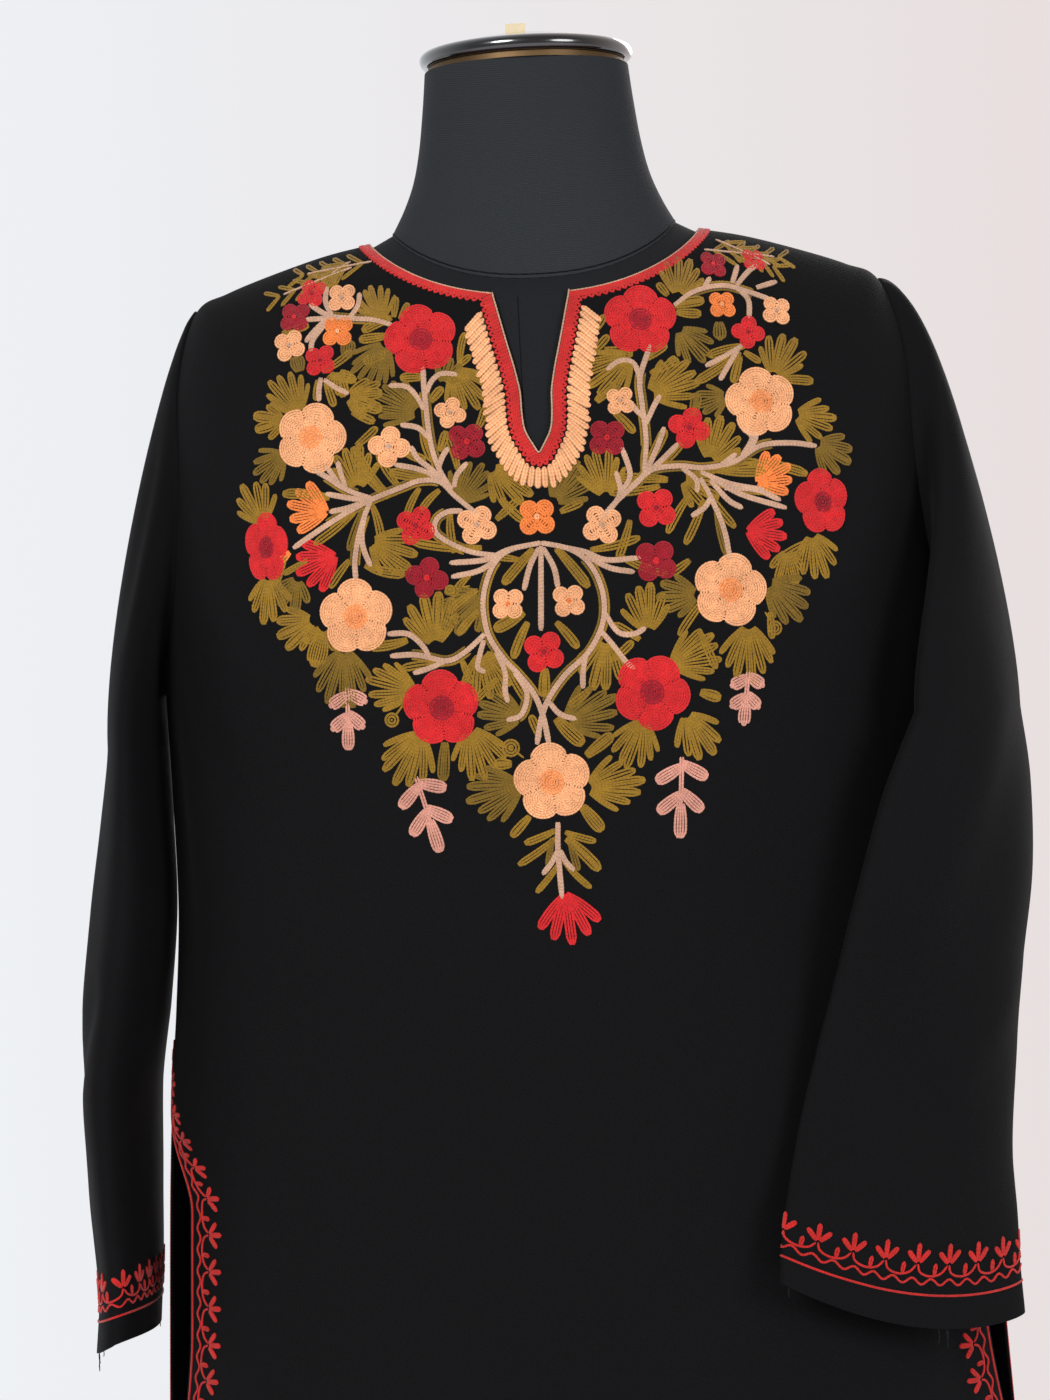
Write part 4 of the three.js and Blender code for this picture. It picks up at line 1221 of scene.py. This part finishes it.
def slit_patch(front, side):
    """The cloth along a side slit. s runs down its edge, and t into the cloth."""
    place = np.linspace(SLIT_RING - 0.15, HEM_RING, 120)
    t = np.arange(0, 46, 2.0)
    half = panel_edge(place, 0, SLIT_FRONT_PULL if front else SLIT_BACK_PULL)
    grid = np.empty((len(t), len(place), 3))
    for c in range(len(place)):
        angle = side * (half[c] - np.linspace(0, 0.5, 90))
        line = body_points(place[c], angle if front else math.pi - angle)
        grid[:, c] = values_at(t, lengths_along(line), line)
    grid[..., 1] += SEAM_GAP / 2 * (-1 if front else 1)
    s = np.broadcast_to(lengths_across(grid).mean(0), grid.shape[:2])
    return Patch(t, grid, s, on_axis(np.full(len(t), SKIRT_MIDDLE))), s[0, -1]


def slit_crowns(threads):
    """A small three-petal motif on the front above each side slit."""
    place = np.linspace(SLIT_RING - 1.6, SLIT_RING, 40)
    for side in (-1, 1):
        angle = side * radians(np.linspace(58, 89.5, 50))
        grid = body_points(place[:, None], angle[None, :])
        t = lengths_along(grid[:, -1])
        s = lengths_across(grid)
        s -= s[:, -1:]
        needle = Needle(threads, Patch(t, grid, s, on_axis(grid[:, 0, 2])), "slits")
        foot = np.array([-9.0, t[-1]])
        needle.line("crimson", foot, spline([(2, 1), (-1, 5), (0, 10), (3, 13)]))
        for off, reach in ((42, 9), (0, 11), (-42, 9)):
            needle.finger("crimson", foot, np.array([3.0, 13.0]), 90 + off, reach, 3.4, waist=0.45)
        needle.finger("crimson", foot, np.array([-0.5, 6.0]), 150, 6.5, 3.0, waist=0.5)


def loose_threads(threads, grids):
    """Raw thread ends that hang from the cuffs. Columns: share of the way round, lean, length."""
    ends = {
        "cuff_left": [(0.47, 0.2, 9), (0.48, -0.3, 7), (0.475, 0.05, 11), (0.52, 0.4, 5), (0.9, 0.1, 6)],
        "cuff_right": [(0.53, 0.25, 8), (0.54, -0.1, 10), (0.545, 0.4, 6), (0.3, -0.3, 5), (0.86, 0.2, 6)],
    }
    for name, rows in ends.items():
        outer, inner = grids[name]
        edge = (outer[-1] + inner[-1]) / 2
        middle = edge.mean(0)
        for share, lean, length in rows:
            foot = edge[int(share * len(edge) + len(edge) / 2) % len(edge)]
            down = np.linspace(-1.5, length, 12)[:, None]
            points = foot - [0, 0, 1] * down + [lean, 0, 0] * np.sin(down * 0.5) * 1.6
            facing = unit((foot - middle) * [1, 1, 0])
            normals = np.broadcast_to(facing, points.shape)
            threads.strip(f"{name}.raw", points, normals, down[:, 0], width=0.55, height=0.3)


def borders(threads, grids):
    for name, (outer, inner) in grids.items():
        patch, length = cuff_patch(outer)
        border(Needle(threads, patch, name, up=1), length, 0, 16)
    for front in (True, False):
        for side in (-1, 1):
            patch, length = slit_patch(front, side)
            border(Needle(threads, patch, "slits", up=1), length - 3, 6, 3)


def linear(red, green, blue):
    """A linear colour from the 0 to 255 values of a screen colour."""
    shares = np.array([red, green, blue]) / 255
    low = shares <= 0.04045
    return tuple(float(v) for v in np.where(low, shares / 12.92, ((shares + 0.055) / 1.055) ** 2.4)) + (1.0,)


class Nodes:
    """Adds nodes to a node tree."""

    def __init__(self, tree):
        self.tree = tree
        self.coordinates = self.node("ShaderNodeTexCoord")

    def feed(self, socket, value):
        """Links an output, or sets a plain value."""
        if isinstance(value, bpy.types.NodeSocket):
            self.tree.links.new(value, socket)
        else:
            socket.default_value = value

    def node(self, kind, **inputs):
        made = self.tree.nodes.new(kind)
        for name, value in inputs.items():
            self.feed(made.inputs[name.replace("_", " ")], value)
        return made

    def sum(self, operation, *values):
        made = self.node("ShaderNodeMath")
        made.operation = operation
        for socket, value in zip(made.inputs, values):
            self.feed(socket, value)
        return made.outputs[0]

    def ease(self, value, start, end, low=0.0, high=1.0):
        """low at start, high at end."""
        made = self.node(
            "ShaderNodeMapRange", Value=value, From_Min=start, From_Max=end, To_Min=low, To_Max=high
        )
        return made.outputs["Result"]

    def mix(self, factor, low, high):
        """A colour between two colours, by a factor."""
        made = self.node("ShaderNodeMix")
        made.data_type = "RGBA"
        self.feed(made.inputs["Factor"], factor)
        ends = [socket for socket in made.inputs if socket.type == "RGBA"]
        for socket, value in zip(ends, (low, high)):
            self.feed(socket, value)
        return [socket for socket in made.outputs if socket.type == "RGBA"][0]


class Surface(Nodes):
    """A node material whose colour and bump come from small patterns."""

    def __init__(self, name, colour, roughness, **sockets):
        self.material = bpy.data.materials.new(name)
        self.material.use_nodes = True
        super().__init__(self.material.node_tree)
        self.shader = self.tree.nodes["Principled BSDF"]
        self.colour = colour
        self.height = None
        for socket, value in {"Base_Color": colour, "Roughness": roughness, **sockets}.items():
            self.shader.inputs[socket.replace("_", " ")].default_value = value

    def noise(self, scale, detail=3.0):
        vector = self.coordinates.outputs["Object"]
        return self.node("ShaderNodeTexNoise", Vector=vector, Scale=scale, Detail=detail).outputs["Fac"]

    def wave(self, pitch, angle, distortion=0.0):
        """Straight ridges at a pitch in metres, turned in the cloth's own coordinates."""
        turn = (0, 0, math.radians(angle))
        turned = self.node("ShaderNodeMapping", Vector=self.coordinates.outputs["UV"], Rotation=turn)
        wave = self.node(
            "ShaderNodeTexWave", Vector=turned.outputs["Vector"], Scale=math.pi / 10 / pitch,
            Distortion=distortion, Detail_Scale=2.0
        )
        return wave.outputs["Fac"]

    def vary(self, pattern, low, high):
        """Mix the base colour between two multiples of it, by a pattern."""
        base = self.shader.inputs["Base Color"]
        if base.is_linked:
            colour = base.links[0].from_socket
            ends = []
            for factor in (low, high):
                scaled = self.node("ShaderNodeVectorMath")
                scaled.operation = "SCALE"
                self.feed(scaled.inputs[0], colour)
                self.feed(scaled.inputs["Scale"], factor)
                ends.append(scaled.outputs["Vector"])
        else:
            ends = [[c * factor for c in self.colour[:3]] + [1.0] for factor in (low, high)]
        self.feed(base, self.mix(pattern, *ends))

    def bump(self, pattern, depth):
        below = {"Normal": self.height} if self.height else {}
        bump = self.node("ShaderNodeBump", Height=pattern, Distance=depth, Strength=1.0, **below)
        self.height = bump.outputs["Normal"]
        self.feed(self.shader.inputs["Normal"], self.height)


def twill(name, colour, pitch, angle, sheen, depth):
    cloth = Surface(
        name, colour, 0.85, Sheen_Weight=sheen, Sheen_Roughness=0.4, Sheen_Tint=(0.8, 0.8, 0.84, 1),
        Specular_IOR_Level=0.12
    )
    ridges = cloth.wave(pitch, angle, distortion=0.6)
    # Painted shade in the twill's furrows and painted light on its ridges.
    cloth.vary(ridges, 0.75, 1.25)
    cloth.vary(cloth.noise(9.0, 5.0), 0.85, 1.15)
    cloth.bump(ridges, depth)
    cloth.bump(cloth.noise(1500.0, 2.0), depth * 0.7)
    return cloth.material


def wool_thread(name, colour, sheen=0.2):
    """Two plaited strands, with painted shade in the furrow between them and at the edges of the row, and
    painted light and shade along the plaited loops.
    """
    thread = Surface(name, colour, 0.75, Sheen_Weight=sheen, Sheen_Roughness=0.5, Specular_IOR_Level=0.15)
    place = thread.node("ShaderNodeSeparateXYZ", Vector=thread.coordinates.outputs["UV"])
    across = thread.sum("ABSOLUTE", thread.sum("MULTIPLY", place.outputs["Y"], 1 / MM))
    # Painted shade: the row goes nearly black at its edges and darker in the furrow along its middle.
    thread.vary(thread.ease(across, 0.95, 0.5), 0.12, 1.0)
    thread.vary(thread.ease(across, 0.0, 0.3), 0.6, 1.0)
    plait = thread.sum("ADD", thread.sum("MULTIPLY", place.outputs["X"], 2 * math.pi / STITCH / MM), across)
    # Painted light and shade along the plaited loops.
    thread.vary(thread.sum("SINE", plait), 0.92, 1.1)
    thread.vary(thread.noise(260.0, 3.0), 0.7, 1.22)
    thread.vary(thread.noise(45.0, 2.0), 0.72, 1.22)
    thread.bump(thread.noise(2600.0, 2.0), 0.0002)
    return thread.material


CLOTH_BLACK = twill("near_black_twill", linear(10, 10, 12), 0.0011, 58, 0.015, 0.00012)
FORM_TWILL = twill("charcoal_twill", linear(42, 45, 48), 0.0010, 82, 0.04, 0.00008)
# The form's body is the same charcoal twill as its neck, made darker as painted shade.
FORM_TWILL_PAINTED_SHADE = twill("charcoal_twill_painted_shade", linear(27, 28, 31), 0.0010, 82, 0.03, 0.00008)

CAP_BLACK = Surface(
    "gloss_black", linear(4, 4, 5), 0.2, Coat_Weight=1.0, Coat_Roughness=0.06, Specular_IOR_Level=0.9
)
CAP_BLACK.bump(CAP_BLACK.noise(40.0, 2.0), 0.0002)
BRASS = Surface("dull_brass", linear(104, 82, 56), 0.5, Metallic=0.9)
BRASS.vary(BRASS.noise(120.0, 4.0), 0.7, 1.15)
CARD = Surface("cream_card", linear(222, 205, 170), 0.7)
CARD.vary(CARD.noise(300.0, 3.0), 0.9, 1.06)
STEEL = Surface("satin_black_steel", linear(38, 38, 40), 0.42, Metallic=0.6, Specular_IOR_Level=0.5)
STEEL.vary(STEEL.noise(60.0, 4.0), 0.85, 1.15)
STEEL.bump(STEEL.noise(900.0, 2.0), 0.00008)

THREAD_COLOURS = {
    "red": (222, 38, 42), "wine": (165, 22, 40), "peach": (255, 184, 132), "apricot": (255, 156, 92),
    "orange": (252, 138, 66), "olive": (156, 118, 32), "moss": (130, 100, 28), "beige": (208, 166, 138),
    "pink": (226, 160, 140), "scarlet": (212, 44, 42), "crimson": (205, 36, 32),
}
THREADS = {name: wool_thread(f"{name}_wool", linear(*colour)) for name, colour in THREAD_COLOURS.items()}
THREADS["dark"] = wool_thread("dark_thread", linear(9, 9, 11), sheen=0.0)
THREADS["raw"] = wool_thread("raw_thread", linear(24, 24, 27), sheen=0.05)

# Garment
FRONT = panel("front_cloth", 0, ARMHOLE_FRONT, SLIT_FRONT_PULL, True, CLOTH_BLACK)
BACK = panel("back_cloth", math.pi, ARMHOLE_BACK, SLIT_BACK_PULL, False, CLOTH_BLACK)
LEFT_GRIDS = sleeve_grid(-1, LEFT_SLEEVE, LEFT_SLEEVE_CREASES, LEFT_REACH_TOP)
RIGHT_GRIDS = sleeve_grid(1, RIGHT_SLEEVE, RIGHT_SLEEVE_CREASES, RIGHT_REACH_TOP)
LEFT_CLOTH = sleeve("sleeve_left_cloth", -1, LEFT_GRIDS, CLOTH_BLACK)
RIGHT_CLOTH = sleeve("sleeve_right_cloth", 1, RIGHT_GRIDS, CLOTH_BLACK)
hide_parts("front")
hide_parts("back")
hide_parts("sleeve_left")
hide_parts("sleeve_right")

# Thread
threads = Threads()
yoke = Yoke()
yoke_embroidery(threads, yoke)
neck_bands(threads, yoke)
CUFFS = {"cuff_left": LEFT_GRIDS, "cuff_right": RIGHT_GRIDS}
borders(threads, CUFFS)
slit_crowns(threads)
loose_threads(threads, CUFFS)
threads.build(THREADS)

# Dress form
def form_body_rings():
    places = np.linspace(0, SHOULDER_RING, 17)
    upper = []
    for place in places:
        normals = body_normals(np.full(TURN.shape, max(place, 0.05)), TURN)
        upper.append(body_points(place, TURN) - normals * (CAD_CLOTH + FORM_CLEARANCE))
    lower = [ring_points(rows_at(FORM_BODY_RINGS, place), TURN) for place in np.linspace(0, 13, 79)]
    return np.array([ring_points(np.array(FORM_NECK_RING, float), TURN)] + upper + lower)


FORM_RINGS = form_body_rings()
FORM_BODY = loft("form_body_cover", FORM_RINGS, FORM_TWILL_PAINTED_SHADE)
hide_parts("form_body")
NECK_TABLE = [FORM_NECK_RING] + FORM_NECK_RINGS
NECK_RINGS = np.array([ring_points(rows_at(NECK_TABLE, place), TURN) for place in np.linspace(5, 0, 41)])
NECK_RINGS[..., 2] += SEAM_GAP
FORM_NECK = loft("form_neck_cover", NECK_RINGS, FORM_TWILL)
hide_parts("form_neck")


def form_seams():
    """Stitched seams of the form: round the foot of its neck, and down its front and back."""
    seams = Threads()

    def seam(line, outward, width):
        length = lengths_along(line)
        keep = np.concatenate([[True], np.diff(length) > 0.05])
        where = np.linspace(0, length[-1], int(length[-1] / STITCH * STITCH_SAMPLES))
        points, facing = (values_at(where, length[keep], values[keep]) for values in (line, outward))
        seams.strip("form.dark", points, unit(facing), where, width=width, height=0.3)

    collar = np.concatenate([NECK_RINGS[-2], NECK_RINGS[-2][:1]])
    seam(collar, collar * [1, 1, 0], 1.1)
    rings = FORM_RINGS[1:-1]
    quarter = len(TURN) // 4
    middles = rings.mean(1)
    for x, start, order in ((FRONT_SEAM_X, quarter, 1), (0.0, -quarter, -1)):
        half = np.roll(rings, -start, 1)[:, :2 * quarter + 1][:, ::order]
        line = np.stack([values_at(x, ring[:, 0], ring) for ring in half])
        seam(line, (line - middles) * [0, 1, 0], 0.8)
    seams.build(THREADS)


form_seams()

# Cap and stand
STRIP_FOOT = 1491.3
CAP_FOOT = 1494.6
CAP_OUTLINE = [
    [55.5, 0], [57.2, 0.7], [58.1, 1.8], [58.6, 3.6], [58.6, 5], [58.0, 6.5], [56.6, 7.7], [55, 8.3],
    [53, 8.8],
    [49.5, 9.5], [46, 10.2], [42.5, 10.9], [39, 11.6], [36, 12.3], [33, 13], [31, 13.4], [29, 13.8],
    [26, 14.2],
]
POLE_RADIUS = 16
POLE_FOOT = 46.6
POLE_TOP = 699.7
HUB_FOOT = 17.3
HUB_OUTLINE = [[36, 0], [35.6, 2], [34, 8], [32.6, 16], [31, 25], [30, 28.4], [28.4, 29]]
BASE_OUTLINE = [[196, 0], [199, 1.2], [200, 3], [200, 6], [199, 9], [196.5, 11.2], [190, 13], [36, 17]]

STRIP = lathe("cap_strip_band", [[54, 0], [54, 3]], STRIP_FOOT, BRASS.material)
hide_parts("cap_strip")
CAP = lathe("cap_gloss", CAP_OUTLINE, CAP_FOOT, CAP_BLACK.material)
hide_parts("cap")
POLE_OUTLINE = [[POLE_RADIUS, 0], [POLE_RADIUS, POLE_TOP - POLE_FOOT]]
POLE = lathe("stand_pole_tube", POLE_OUTLINE, POLE_FOOT, STEEL.material)
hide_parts("stand_pole")
HUB = lathe("stand_hub_collar", HUB_OUTLINE, HUB_FOOT, STEEL.material)
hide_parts("stand_hub")
BASE = lathe("stand_base_plate", BASE_OUTLINE, 0, STEEL.material)
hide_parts("stand_base")
for node_object in bpy.context.scene.objects:
    if node_object.type == "MESH" and "cap_tab" in node_object.name:
        node_object.data.materials.clear()
        node_object.data.materials.append(CARD.material)

# Studio
FLOOR_RADIUS = 3.0
ROOM_IN_FRONT = 0.3


def floor():
    mesh = bpy.data.meshes.new("floor")
    turn = np.linspace(0, 2 * math.pi, 96, endpoint=False)
    rim = [(FLOOR_RADIUS * math.cos(a), FLOOR_RADIUS * math.sin(a), 0) for a in turn]
    mesh.from_pydata(rim, [], [list(range(len(rim)))])
    disc = add_object("floor", mesh)
    pale = Surface("pale_floor", linear(222, 221, 226), 0.9)
    pale.vary(pale.noise(3.0, 2.0), 0.98, 1.01)
    mesh.materials.append(pale.material)


def area_light(name, place, aim, size, power, colour=(1, 1, 1)):
    data = bpy.data.lights.new(name, "AREA")
    data.shape = "DISK"
    data.size = size
    data.energy = power
    data.color = colour
    lamp = add_object(name, data)
    lamp.location = place
    lamp.rotation_euler = (Vector(aim) - Vector(place)).to_track_quat("-Z", "Y").to_euler()


floor()
area_light("key", (-1.3, -2.7, 2.4), (0, 0, 1.15), 1.2, 74, (1, 0.99, 0.97))
area_light("fill", (2.0, -2.4, 1.5), (0, 0, 1.1), 1.4, 40, (0.97, 0.98, 1))
area_light("back", (1.2, 2.4, 2.2), (0, 0, 1.1), 1.6, 26)


def pale_room():
    """A pale room, bluish to the left of the front view and pinkish to its right, and darker in front."""
    world = bpy.data.worlds.new("pale_room")
    world.use_nodes = True
    nodes = Nodes(world.node_tree)
    across = nodes.node("ShaderNodeSeparateXYZ", Vector=nodes.coordinates.outputs["Generated"])
    share = nodes.ease(across.outputs["X"], -0.14, 0.14)
    background = nodes.tree.nodes["Background"]
    nodes.feed(background.inputs["Color"], nodes.mix(share, linear(238, 241, 245), linear(232, 223, 222)))
    strength = nodes.ease(across.outputs["Y"], -0.5, 0.4, ROOM_IN_FRONT, 1.0)
    nodes.feed(background.inputs["Strength"], strength)
    bpy.context.scene.world = world


pale_room()
bpy.context.scene.view_settings.view_transform = "Standard"

camera_data = bpy.data.cameras.new("camera")
camera_data.sensor_width = SENSOR
camera_data.lens = SENSOR * FOCAL_PIXELS / PHOTO_HEIGHT
camera = add_object("camera", camera_data)
camera.location = (CAMERA_X * MM, -CAMERA_DISTANCE * MM, CAMERA_HEIGHT * MM)
camera.rotation_euler = (math.pi / 2, CAMERA_ROLL, 0)
bpy.context.scene.camera = camera
